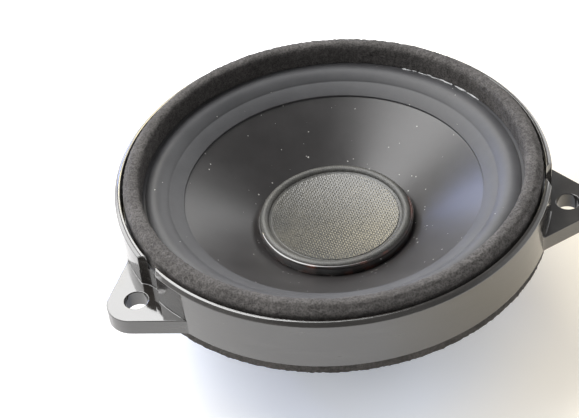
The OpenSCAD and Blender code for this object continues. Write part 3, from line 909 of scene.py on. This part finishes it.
@dataclass
class Surround:
    """Rubber edge roll, and the glue that squeezed out where its flange meets the foam."""

    thickness: float = 0.45
    roll_in: float = 39.8
    roll_w: float = 5.6
    roll_h: float = 1.2
    roll_drop: float = 1.1
    roll_sine: float = 0.75
    overlap_r: float = 37.6
    edge_r: float = 50.7
    glue_line: float = 0.1
    hem_in: float = 0.12
    hem_out: float = 0.1
    hold: float = 0.2
    roll_steps: int = 44
    steps: int = 360
    glue_r: float = 46.05
    glue_from: float = 21.7
    glue_to: float = 52.7
    glue_blobs: int = 17
    blob_length: Point = (0.35, 1.5)
    blob_width: Point = (0.12, 0.26)
    blob_height: Point = (0.1, 0.24)
    blob_inset: Point = (0.0, 0.25)
    blob_lift: float = 0.4

    def roll(self, t: float) -> Point:
        """Returns the roll's upper face, from its inner foot at 0 to its outer foot at 1."""
        arch = (self.roll_sine * math.sin(math.pi * t)
            + (1 - self.roll_sine) * math.sqrt(1 - (2 * t - 1) ** 2))
        return (self.roll_in + self.roll_w * t, DATUM.ledge_z + self.thickness
            - self.roll_drop * (1 - t) + self.roll_h * arch)

    def face(self) -> list[Point]:
        """Draws the upper face from the cone's edge out to the flange.

        Returns:
            Points along the face.
        """
        lift = self.glue_line + self.thickness
        edge, foot, knee = [(r, DATUM.cone_z(r) + lift) for r in (DATUM.cone_edge_r,
            self.overlap_r, (self.overlap_r + self.roll_in) / 2)]
        return ([edge] + curve(foot, knee, self.roll(0), steps=10)
            + [self.roll(i / self.roll_steps) for i in range(1, self.roll_steps + 1)]
            + [(self.edge_r, DATUM.ledge_z + self.thickness)])

    def squeezed_glue(self) -> Object:
        """Makes the broken bead of glue along the foam's inner foot.

        Returns:
            The bead, as one piece of many drops.
        """
        draw = random.Random(4)
        shape = bmesh.new()
        for i in range(self.glue_blobs):
            angle = math.radians(self.glue_from + (self.glue_to - self.glue_from)
                * (i + draw.random()) / self.glue_blobs)
            length, width, height = [draw.uniform(*span) for span in (self.blob_length,
                self.blob_width, self.blob_height)]
            r = self.glue_r - draw.uniform(*self.blob_inset)
            place = Matrix.Translation((r * MM * math.cos(angle), r * MM * math.sin(angle),
                (DATUM.ledge_z + self.thickness + height * self.blob_lift) * MM))
            turn = Matrix.Rotation(angle + math.pi / 2, 4, "Z")
            size = Matrix.Diagonal((length * MM, width * MM, height * MM, 1.0))
            bmesh.ops.create_uvsphere(shape, u_segments=12, v_segments=8, radius=1.0,
                matrix=place @ turn @ size)
        return piece("squeezed_glue", shape, 80.0)

    def build(self) -> None:
        """Builds and dresses the surround and the glue beside it."""
        face = self.face()
        roll = piece("surround_roll", spun(shell(face, self.thickness), self.steps,
            {0: self.hem_in, len(face) - 1: self.hem_out}))
        bend_by_radius(roll)
        dress(roll, SURROUND_RUBBER, Slot.SURROUND, None, "surround")
        dress(self.squeezed_glue(), CLEAR_GLUE, Slot.SURROUND, Body.FRAME)


@dataclass
class ConeAndCap:
    """Cone, dust cap and the glue round the cap's foot."""

    cone_r: float = 37.6
    cone_rows: int = 12
    cone_edge: float = 0.15
    cone_steps: int = 360
    cap_r: float = 18.75
    cap_h: float = 3.3
    roll_r: float = 1.2
    cap_t: float = 0.5
    cap_drop: float = 0.9
    cap_dish: float = 0.8
    cap_step: float = 0.75
    cap_rows: int = 14
    groove: float = 0.16
    foot_gap: float = 0.1
    glue_w: float = 0.42
    glue_round: float = 0.6
    glue_toe: float = 0.1
    glue_gap: float = 0.03
    glue_low: float = -1.5
    glue_high: float = 0.15
    glue_turn: float = 4.0
    glue_lift: float = 0.04
    glue_knee: Point = (0.03, 0.35)
    glue_still: float = 0.1
    glue_flow: float = 0.2
    flow_grain: float = 5.0
    glue_lump: float = 0.12
    lump_scale: float = 11.0
    halvings: int = 16
    bulge_rows: int = 14
    side_rows: int = 8
    back_rows: int = 9
    glue_steps: int = 420

    def roll_middle(self) -> Point:
        """Returns the middle of the round roll along the cap's edge."""
        return (self.cap_r - self.roll_r, DATUM.cone_z(self.cap_r) + self.cap_h - self.roll_r)

    def cap_face(self) -> list[Point]:
        """Draws the cap's upper face from its middle out to the side of its roll.

        Returns:
            Points along the face.
        """
        disc_r = self.cap_r - 2 * self.roll_r - self.cap_step
        disc_z = DATUM.cone_z(self.cap_r) + self.cap_h - self.cap_drop
        rows = self.cap_rows
        disc = [(disc_r * i / rows, disc_z - self.cap_dish * (1 - (i / rows) ** 2))
            for i in range(rows + 1)]
        dip = [(disc_r + self.groove * k, disc_z - self.groove * d) for k, d in
            ((0.25, 0.5), (0.6, 0.95), (1.2, 1.1), (1.8, 1.0))]
        return disc + dip + arc(self.roll_middle(), self.roll_r, range(162, -1, -9))

    def cap(self) -> Object:
        """Makes the cap, a shell that stands on the cone.

        Returns:
            The cap.
        """
        face = self.cap_face()
        foot = DATUM.cone_z(self.cap_r) + self.foot_gap
        inside = arc(self.roll_middle(), self.roll_r - self.cap_t, range(0, 181, 20))
        under = [(r, z - self.cap_t) for r, z in reversed(face[:self.cap_rows + 3])]
        return piece("dust_cap_shell", spun(face + [(self.cap_r, foot),
            (self.cap_r - self.cap_t, foot)] + inside + under), 40.0)

    def cap_side(self, z: float) -> float:
        """Returns the radius at which glue lies against the cap's side, at a height."""
        over = max(z - self.roll_middle()[1], 0.0)
        return (self.cap_r - self.roll_r + math.sqrt(max(self.roll_r ** 2 - over ** 2, 0.0))
            + self.glue_gap)

    def glue_face(self, turn: float) -> list[Point]:
        """Draws the glue's section at an angle round the cap.

        The glue stands highest in front. Its round face starts at the lip, where it leaves the
        cap's side. The lip is found by halving the stretch that it lies in, which ends where the
        face is always inside the cap.

        Args:
            turn: angle round the axis, in radians.

        Returns:
            Points round the section: over its bulge and down its outside, then up the cap's side.
        """
        front = min(1.0 - math.sin(turn - math.radians(self.glue_turn)), 1.0)
        middle = Vector((self.cap_r + self.glue_w - self.glue_round, self.roll_middle()[1]
            + self.glue_low + (self.glue_high - self.glue_low) * front))
        lip, far = 0.0, math.pi * 0.8
        for _ in range(self.halvings):
            half = (lip + far) / 2
            r, z = middle + self.glue_round * Vector((math.cos(half), math.sin(half)))
            lip, far = (half, far) if r > self.cap_side(z) else (lip, half)
        angles = [lip * (1 - k / self.bulge_rows) for k in range(self.bulge_rows + 1)]
        bulge = [middle + self.glue_round * Vector((math.cos(a), math.sin(a))) for a in angles]
        toe_r = self.cap_r + self.glue_w + self.glue_toe
        toe = Vector((toe_r, DATUM.cone_z(toe_r) + self.glue_lift))
        knee = (bulge[-1].x + self.glue_knee[0], toe.y + self.glue_knee[1])
        side = curve(bulge[-1], knee, toe, self.side_rows)[1:]
        foot = DATUM.cone_z(self.cap_r + self.glue_gap) + self.glue_lift
        heights = [foot + (bulge[0].y - foot) * k / self.back_rows for k in range(self.back_rows)]
        back = [(self.cap_side(z), z) for z in heights]
        return [tuple(p) for p in bulge] + side + back

    def glue(self) -> Object:
        """Makes the uneven bead of glue round the cap.

        Marks are spun first, whose distance from the axis says which point of the section each is.

        Returns:
            The bead.
        """
        step = 0.01
        count = len(self.glue_face(0.0))
        marks = [(self.cap_r + k * step, step * ((k * 7) % 5)) for k in range(count)]
        shape = spun(marks, self.glue_steps)
        for v in shape.verts:
            turn = math.atan2(v.co.y, v.co.x)
            r, z = self.glue_face(turn)[round((v.co.xy.length / MM - self.cap_r) / step)]
            way = (math.cos(turn), math.sin(turn))
            flow = self.glue_flow * noise.noise(Vector((*way, 0.0)) * self.cap_r / self.flow_grain)
            lump = self.glue_lump * noise.noise(Vector((*way, 3.0)) * self.lump_scale)
            r += max(r - self.cap_r - self.glue_still, 0.0) * (flow + lump)
            z = max(z, DATUM.cone_z(r) + self.glue_gap)
            v.co = Vector((r * math.cos(turn), r * math.sin(turn), z)) * MM
        bmesh.ops.recalc_face_normals(shape, faces=shape.faces)
        return piece("cap_glue_bead", shape, 70.0)

    def build(self) -> None:
        """Builds and dresses the three pieces."""
        inner = DATUM.former_r + DATUM.neck_gap
        rows = self.cone_rows
        radii = [inner + (self.cone_r - inner) * i / rows for i in range(rows + 1)]
        section = shell([(r, DATUM.cone_z(r)) for r in radii], DATUM.cone_t)
        rim = {rows: self.cone_edge, rows + 1: self.cone_edge}
        cone = piece("cone_body", spun(section, self.cone_steps, rim))
        dress(cone, CONE_SKIN, Slot.CONE, Body.DIAPHRAGM, "cone")
        dress(self.cap(), CAP_CLOTH, Slot.CAP, Body.DIAPHRAGM, "dust_cap")
        dress(self.glue(), BROWN_GLUE, Slot.BROWN_GLUE, Body.DIAPHRAGM, "cap_adhesive")


@dataclass
class VoiceCoil:
    """Former, winding and the glue that holds the former in the cone's neck."""

    former_in: float = 12.9
    head: float = 1.6
    tail: float = 0.6
    winding_in: float = 13.15
    winding_t: float = 0.5
    winding_h: float = 9.0
    wire: float = 0.5
    winding_steps: int = 192
    neck_glue_w: float = 1.5
    neck_glue_gap: float = 0.1
    neck_glue_edge: float = 0.2

    def build(self) -> None:
        """Builds and dresses the three pieces."""
        plate_mid = DATUM.motor_h() - Motor.plate_t / 2
        z0 = plate_mid - self.winding_h / 2
        z1 = z0 + self.winding_h
        foot = z0 - self.tail
        top = DATUM.cone_z(DATUM.former_r + DATUM.neck_gap) + self.head
        former = piece("former_tube", spun([(self.former_in, foot), (DATUM.former_r, foot),
            (DATUM.former_r, top), (self.former_in, top)]))
        dress(former, FORMER_FILM, Slot.FORMER, Body.DIAPHRAGM, "voice_coil_former")
        wire = ((0.05, 0.12), (0.25, 0.02), (0.5, 0.0), (0.75, 0.02), (0.95, 0.12))
        crest = self.winding_in + self.winding_t
        ridges = [(crest - dip, z0 + self.wire * (i + k))
            for i in range(round(self.winding_h / self.wire)) for k, dip in wire]
        winding = piece("winding_turns", spun([(self.winding_in, z0)] + ridges
            + [(self.winding_in, z1)], self.winding_steps), 60.0)
        dress(winding, COPPER_WIRE, Slot.WINDING, Body.DIAPHRAGM, "voice_coil_winding")
        r0 = self.winding_in
        r1 = r0 + self.neck_glue_w
        under = DATUM.cone_t + self.neck_glue_gap
        foot = DATUM.seat_z() + DATUM.spider_t + DATUM.spider_gap / 2
        bead = spun([(r0, foot), (r0 + self.neck_glue_w / 2, foot), (r1, DATUM.cone_z(r1) - under),
            (r0, DATUM.cone_z(r0) - under)], TURN_STEPS, {1: self.neck_glue_edge})
        dress(piece("neck_glue_bead", bead), BROWN_GLUE, Slot.BROWN_GLUE, Body.DIAPHRAGM,
            "neck_adhesive")


@dataclass
class Spider:
    """Corrugated cloth that centres the coil."""

    inner: float = 13.15
    outer: float = 31.4
    wave_in: float = 15.75
    wave_out: float = 27.6
    waves: int = 5
    amp: float = 0.8
    hold: float = 0.5
    steps: int = 80

    def build(self) -> None:
        """Builds and dresses the spider."""
        top = DATUM.seat_z() + DATUM.spider_t
        run = self.wave_out - self.wave_in
        waves = [(self.wave_in + run * i / self.steps, top + self.amp
            * math.sin(math.tau * self.waves * i / self.steps)) for i in range(self.steps + 1)]
        face = [(self.inner, top)] + waves + [(self.outer, top)]
        cloth = piece("spider_cloth", spun(shell(face, DATUM.spider_t)))
        bend_by_radius(cloth)
        dress(cloth, SPIDER_CLOTH, Slot.SPIDER, None, "spider")


@dataclass
class Motor:
    """Yoke with its pole, ferrite ring, front plate and the screws that hold the basket."""

    plate_r: float = 23.0
    plate_t: float = 3.5
    gap_r: float = 14.05
    chamfer: float = 0.6
    yoke_t: float = 4.0
    pole_r: float = 12.5
    relief: float = 0.5
    magnet_r: float = 25.0
    magnet_bore: float = 16.0
    screw_r: float = 19.9
    pole_edge: float = 0.3
    edge: float = 0.2
    screws: tuple[float, ...] = (30.0, 150.0, 270.0)
    screw_edge: float = 0.1
    head_r: float = 3.0
    head_slack: float = 16.0

    def ring(self, bore: float, radius: float, z0: float, z1: float) -> list[Point]:
        """Returns a ring's section, chamfered outside, from its lower inner corner outwards."""
        c = self.chamfer
        return [(bore, z0), (radius - c, z0), (radius, z0 + c), (radius, z1 - c), (radius - c, z1),
            (bore, z1)]

    def build(self) -> None:
        """Builds and dresses the motor's pieces."""
        top = DATUM.motor_h()
        plate_z = top - self.plate_t
        waist_r = self.pole_r - self.relief
        yoke = self.ring(0.0, self.plate_r, 0.0, self.yoke_t)[:-1] + [(waist_r, self.yoke_t),
            (waist_r, plate_z - 2 * self.relief), (self.pole_r, plate_z),
            (self.pole_r, top - self.pole_edge), (self.pole_r - self.pole_edge, top), (0.0, top)]
        magnet = self.ring(self.magnet_bore, self.magnet_r, self.yoke_t, plate_z)
        plate = self.ring(self.gap_r, self.plate_r, plate_z, top)
        for name, section, finish, slot, node in (
                ("yoke_forging", yoke, PLATED_STEEL, Slot.STEEL, "yoke"),
                ("ferrite_ring", magnet, FERRITE, Slot.FERRITE, "magnet"),
                ("front_plate_ring", plate, PLATED_STEEL, Slot.STEEL, "front_plate")):
            shape = spun(section, TURN_STEPS, {i: self.edge for i in (1, 2, 3, 4)})
            dress(piece(name, shape, 30.0), finish, slot, Body.FRAME, node)
        axes = [Axis(x, y, self.head_r, self.head_slack)
            for x, y in arc((0.0, 0.0), self.screw_r, self.screws)]
        dress(moulded_copy("plate_screw_set", "plate_screws", self.screw_edge, axes), SCREW_STEEL,
            Slot.SCREW, Body.FRAME, "plate_screws")


@dataclass
class Connector:
    """Plug socket with its two blades."""

    edge: float = 0.22
    blade_edge: float = 0.08

    def build(self) -> None:
        """Builds and dresses the socket and the blades."""
        dress(moulded_copy("plug_socket", "connector_housing", self.edge, []), SOCKET_NYLON,
            Slot.SOCKET, Body.FRAME, "connector_housing")
        for pole in ("positive", "negative"):
            blade = moulded_copy("blade_" + pole, "terminal_" + pole, self.blade_edge, [])
            dress(blade, TINNED_BRASS, Slot.BLADE, Body.FRAME, "terminal_" + pole)


@dataclass
class Leads:
    """Tinsel leads between the blades and the cone, and the joints under the cone."""

    start: tuple[float, float, float] = (4.6, 22.535, 28.689)
    end: tuple[float, float, float] = (3.95, 34.894, 26.9)
    pull: float = 5.5
    strands: int = 4
    strand_r: float = 0.29
    lay_r: float = 0.3
    lay: float = 3.2
    steps: int = 70
    joint_r: float = 2.1
    joint_h: float = 1.3
    joint_drop: float = 0.05
    joint_gap: float = 0.04

    def route(self, t: float, side: int) -> Vector:
        """Works out a place along the lead's middle.

        Args:
            t: share of the way, from the cone at 0 to the blade at 1.
            side: 1 for the positive lead, -1 for the negative one.

        Returns:
            The place, in mm.
        """
        a, d = Vector(self.start), Vector(self.end)
        b, c = a - Vector((0, 0, self.pull)), d - Vector((0, self.pull, 0))
        u = 1 - t
        p = a * u ** 3 + b * 3 * t * u * u + c * 3 * t * t * u + d * t ** 3
        return Vector((p.x * side, p.y, p.z))

    def lead(self, name: str, side: int) -> Object:
        """Twists one lead from its strands.

        Args:
            name: name of the piece.
            side: 1 for the positive lead, -1 for the negative one.

        Returns:
            The lead.
        """
        tube = bpy.data.curves.new(name, "CURVE")
        tube.dimensions = "3D"
        tube.bevel_depth = self.strand_r * MM
        tube.bevel_resolution = 2
        tube.use_fill_caps = True
        middle = [self.route(i / self.steps, side) for i in range(self.steps + 1)]
        for k in range(self.strands):
            strand = tube.splines.new("POLY")
            strand.points.add(self.steps)
            run = 0.0
            for i, p in enumerate(middle):
                along = (middle[min(i + 1, self.steps)] - middle[max(i - 1, 0)]).normalized()
                across = Vector((1, 0, 0))
                up = across.cross(along).normalized()
                run += (p - middle[max(i - 1, 0)]).length
                turn = math.tau * (run / self.lay + k / self.strands)
                q = (p + self.lay_r * (math.cos(turn) * across + math.sin(turn) * up)) * MM
                strand.points[i].co = (*q, 1.0)
        maker = bpy.data.objects.new(name + "_curve", tube)
        bpy.context.scene.collection.objects.link(maker)
        bpy.context.view_layer.update()
        seen = maker.evaluated_get(bpy.context.evaluated_depsgraph_get())
        mesh = bpy.data.meshes.new_from_object(seen)
        bpy.data.objects.remove(maker)
        shape = bmesh.new()
        shape.from_mesh(mesh)
        bmesh.ops.remove_doubles(shape, verts=shape.verts, dist=SEAM)
        bmesh.ops.recalc_face_normals(shape, faces=shape.faces)
        return piece(name, shape, 60.0)

    def joints(self) -> Object:
        """Makes the two dots of solder and glue that hold the leads under the cone.

        Returns:
            Both dots as one piece.
        """
        shape = bmesh.new()
        slope = Matrix.Rotation(math.radians(DATUM.cone_angle), 4, "X")
        for side in (1, -1):
            x, y = self.start[0] * side, self.start[1]
            z = DATUM.cone_z(math.hypot(x, y)) - DATUM.cone_t - self.joint_drop
            size = Matrix.Diagonal((self.joint_r * MM, self.joint_r * MM, self.joint_h * MM, 1.0))
            bmesh.ops.create_uvsphere(shape, u_segments=32, v_segments=20, radius=1.0,
                matrix=Matrix.Translation((x * MM, y * MM, z * MM)) @ slope @ size)
        ruffle(shape, grain=1.2, height=0.12, shift=2.2)
        for v in shape.verts:
            under = (DATUM.cone_z(v.co.xy.length / MM) - DATUM.cone_t - self.joint_gap) * MM
            v.co.z = min(v.co.z, under)
        return piece("lead_joint_dots", shape, 50.0)

    def build(self) -> None:
        """Builds and dresses the leads and their joints."""
        for pole, side in (("positive", 1), ("negative", -1)):
            made = self.lead("tinsel_" + pole, side)
            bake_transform(made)
            dress(made, TINSEL, Slot.LEAD, None, "tinsel_lead_" + pole)
        dress(self.joints(), BLACK_GLUE, Slot.BLACK_GLUE, Body.DIAPHRAGM, "lead_joints")


# Studio


@dataclass(frozen=True)
class Softbox:
    """Rectangular soft lamp that faces the speaker.

    Directions are seen from the speaker: azimuth is counted from +X towards +Y.
    """

    name: str
    azimuth: float
    elevation: float
    distance: float
    width: float
    height: float
    radiance: float
    color: str = "#ffffff"
    across: float = 0.0
    up: float = 0.0

    def place(self) -> None:
        """Puts the lamp in the scene."""
        a, e = math.radians(self.azimuth), math.radians(self.elevation)
        toward = Vector((math.cos(e) * math.cos(a), math.cos(e) * math.sin(a), math.sin(e)))
        side = Vector((-math.sin(a), math.cos(a), 0.0))
        above = toward.cross(side)
        data = bpy.data.lights.new(self.name, "AREA")
        data.shape = "RECTANGLE"
        data.size, data.size_y = self.width, self.height
        data.energy = self.radiance * math.pi * self.width * self.height
        data.color = linear(self.color)[:3]
        lamp = bpy.data.objects.new(self.name, data)
        lamp.matrix_world = Matrix.Translation(toward * self.distance + side * self.across
            + above * self.up) @ Matrix((side, above, toward)).transposed().to_4x4()
        lamp.visible_camera = False
        bpy.context.scene.collection.objects.link(lamp)


@dataclass
class Studio:
    """Pale floor with painted shade round the speaker, soft lamps, world and camera.

    Spans and shifts on the floor are in metres, and spans of the room are parts of a direction.
    """

    floor_size: float = 3.0
    floor_color: str = "#eeedec"
    # warm tint of the painted shade to the right of the speaker
    warm_shade_tint: str = "#ddd4c2"
    # bluish tint of the painted shadow under the skirt
    cool_shadow_tint: str = "#e9edf5"
    warm_turn: float = 9.35
    warm_side: Point = (0.015, 0.07)
    warm_reach: Point = (0.07, 0.2)
    cool_shadow_reach: Point = (0.04, 0.056)
    # an oval and a circle round the speaker in which the paper's glow drops to a painted shadow
    oval_shift: tuple[float, float, float] = (-0.0038, -0.218, 0.0)
    oval_stretch: tuple[float, float, float] = (2.14, 1.0, 1.0)
    oval_span: Point = (0.24, 0.311)
    shade_span: Point = (0.07, 0.12)
    painted_shade: float = 0.36
    mirrored: float = 0.66
    ambient: float = 0.25
    ceiling: float = 0.3
    ceiling_span: Point = (0.3, 0.62)
    near_wall: float = 0.4
    near_span: Point = (-0.9, -0.2)
    camera_place: tuple[float, float, float] = (-59.253, -291.787, 297.892)
    camera_turn: tuple[float, float, float] = (48.2615, 4.8143, -13.6322)
    lens: float = 100.974
    sensor: float = 36.0
    lamps: list[Softbox] = field(default_factory=lambda: [
        Softbox("Window softbox", 139.65, 53.0, 1.2, 1.29, 0.78, 6.0, across=-0.175, up=0.16),
        Softbox("Low sky card", 112.65, 14.0, 1.0, 0.24, 0.22, 13.0, color="#829ff0"),
        Softbox("Far window card", 100.0, 15.0, 1.0, 0.6, 0.3, 3.6),
        Softbox("Far wall card", 42.0, 20.0, 1.0, 0.7, 0.4, 2.4),
        Softbox("Left backdrop card", 146.0, 12.0, 1.0, 0.8, 0.38, 3.6),
        Softbox("Gleam card", 87.5, 38.5, 1.0, 0.15, 0.13, 8.5, color="#fff2cc"),
    ])

    def world(self) -> None:
        """Makes a sky that is white to the camera, and walls below a dim ceiling in reflections."""
        sky = bpy.data.worlds.new("Studio")
        bpy.context.scene.world = sky
        sky.use_nodes = True
        tree = sky.node_tree
        ray = add(tree, "LightPath")
        way = add(tree, "SeparateXYZ", {}, {0: add(tree, "TexCoord").outputs["Generated"]})
        ceiling = add(tree, "MapRange", {"From Min": self.ceiling_span[0],
            "From Max": self.ceiling_span[1], "To Max": self.ceiling, "To Min": 1.0},
            {"Value": way.outputs["Z"]})
        room = add(tree, "MapRange", {"From Min": self.near_span[0], "From Max": self.near_span[1],
            "To Min": self.near_wall}, {"Value": way.outputs["Y"]})
        walls = add(tree, "Math", {"operation": "MULTIPLY"}, {0: ceiling, 1: room})
        mirrored = add(tree, "Math", {"operation": "MULTIPLY"},
            {0: walls, 1: ray.outputs["Is Glossy Ray"]})
        direct = add(tree, "Math", {"operation": "MAXIMUM"},
            {0: ray.outputs["Is Camera Ray"], 1: ray.outputs["Is Transmission Ray"]})
        seen = add(tree, "Math", {"operation": "MAXIMUM"}, {0: direct, 1: mirrored})
        level = add(tree, "Math", {"operation": "MAXIMUM", 1: self.ambient}, {0: seen})
        back = tree.nodes["Background"]
        back.inputs["Color"].default_value = linear("#ffffff")
        link(tree, back, {"Strength": level})

    def paper_color(self, tree: Tree, place: Socket) -> Node:
        """Colours the paper: painted warm shade to the right of the speaker and a painted bluish
        shadow under the skirt.

        Args:
            tree: tree of the material.
            place: object coordinates.

        Returns:
            The colour.
        """
        # painted shade: a warm tint on the paper to the right of the speaker, near it
        turned = add(tree, "Mapping", {"Rotation": (0.0, 0.0, math.radians(self.warm_turn))},
            {"Vector": place})
        across = add(tree, "SeparateXYZ", {}, {0: turned})
        away = add(tree, "VectorMath", {"operation": "LENGTH"}, {0: place})
        side = add(tree, "MapRange", {"From Min": self.warm_side[0], "From Max": self.warm_side[1]},
            {"Value": across})
        close, under = [add(tree, "MapRange", {"From Min": near, "From Max": far, "To Min": 1.0,
            "To Max": 0.0}, {"Value": away}) for near, far in (self.warm_reach, self.cool_shadow_reach)]
        share = add(tree, "Math", {"operation": "MULTIPLY"}, {0: side, 1: close})
        # painted shadow: the paper turns bluish close round the axis, under the skirt
        shadow_cooled = add(tree, "Mix", {"data_type": "RGBA", 6: linear(self.floor_color),
            7: linear(self.cool_shadow_tint)}, {0: under})
        return add(tree, "Mix", {"data_type": "RGBA", 7: linear(self.warm_shade_tint)},
            {0: share, 6: shadow_cooled})

    def paper_glow(self, tree: Tree, place: Socket) -> Node:
        """Works out how brightly the paper glows to the camera and in reflections.

        Args:
            tree: tree of the material.
            place: object coordinates.

        Returns:
            The strength, which is full away from the speaker and lowered round it as a painted
            shadow.
        """
        ray = add(tree, "LightPath")
        # painted shadow: the glow to the camera drops in an oval and a circle round the speaker
        oval = add(tree, "Mapping", {"Location": self.oval_shift, "Scale": self.oval_stretch},
            {"Vector": place})
        ramps = [add(tree, "MapRange", {"From Min": near, "From Max": far, "To Min": self.painted_shade},
            {"Value": add(tree, "VectorMath", {"operation": "LENGTH"}, {0: spot})})
            for (near, far), spot in ((self.oval_span, oval), (self.shade_span, place))]
        spread = add(tree, "Math", {"operation": "MAXIMUM"}, {0: ramps[0], 1: ramps[1]})
        direct = add(tree, "Math", {"operation": "MULTIPLY"},
            {0: spread, 1: ray.outputs["Is Camera Ray"]})
        mirrored = add(tree, "Math", {"operation": "MULTIPLY", 1: self.mirrored},
            {0: ray.outputs["Is Glossy Ray"]})
        return add(tree, "Math", {"operation": "MAXIMUM"}, {0: direct, 1: mirrored})

    def floor(self) -> None:
        """Lays the floor: pale paper that is clear from below."""
        shape = bmesh.new()
        bmesh.ops.create_grid(shape, x_segments=2, y_segments=2, size=self.floor_size)
        floor = piece("studio_floor", shape)
        paper = bpy.data.materials.new("Pale paper")
        paper.use_nodes = True
        tree = paper.node_tree
        tree.nodes.clear()
        place = add(tree, "TexCoord").outputs["Object"]
        tint = self.paper_color(tree, place)
        matt = add(tree, "BsdfDiffuse", {}, {"Color": tint})
        glow = add(tree, "Emission", {}, {"Color": tint, "Strength": self.paper_glow(tree, place)})
        both = add(tree, "AddShader", {}, {0: matt, 1: glow})
        below = add(tree, "NewGeometry").outputs["Backfacing"]
        faced = add(tree, "MixShader", {}, {0: below, 1: both, 2: add(tree, "BsdfTransparent")})
        add(tree, "OutputMaterial", {}, {0: faced})
        floor.data.materials.append(paper)

    def camera(self) -> None:
        """Sets the camera up as the photograph was taken."""
        data = bpy.data.cameras.new("Photograph camera")
        data.lens = self.lens
        data.sensor_width = self.sensor
        data.clip_start = 0.01
        camera = bpy.data.objects.new("Photograph camera", data)
        camera.location = Vector(self.camera_place) * MM
        camera.rotation_euler = Euler([math.radians(a) for a in self.camera_turn], "XYZ")
        bpy.context.scene.collection.objects.link(camera)
        bpy.context.scene.camera = camera

    def build(self) -> None:
        """Sets up the whole studio."""
        bpy.context.scene.view_settings.view_transform = "Standard"
        self.world()
        self.floor()
        for lamp in self.lamps:
            lamp.place()
        self.camera()
        log.info("studio: floor, %d lamps, world and camera", len(self.lamps))


def main() -> None:
    """Builds the speaker round the CAD frame."""
    logging.basicConfig(level=logging.INFO, format="%(name)s %(message)s")
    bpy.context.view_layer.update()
    Studio().build()
    for assembly in (Basket(), Gaskets(), Surround(), ConeAndCap(), VoiceCoil(), Spider(), Motor(),
            Connector(), Leads()):
        assembly.build()


if __name__ == "__main__":
    main()
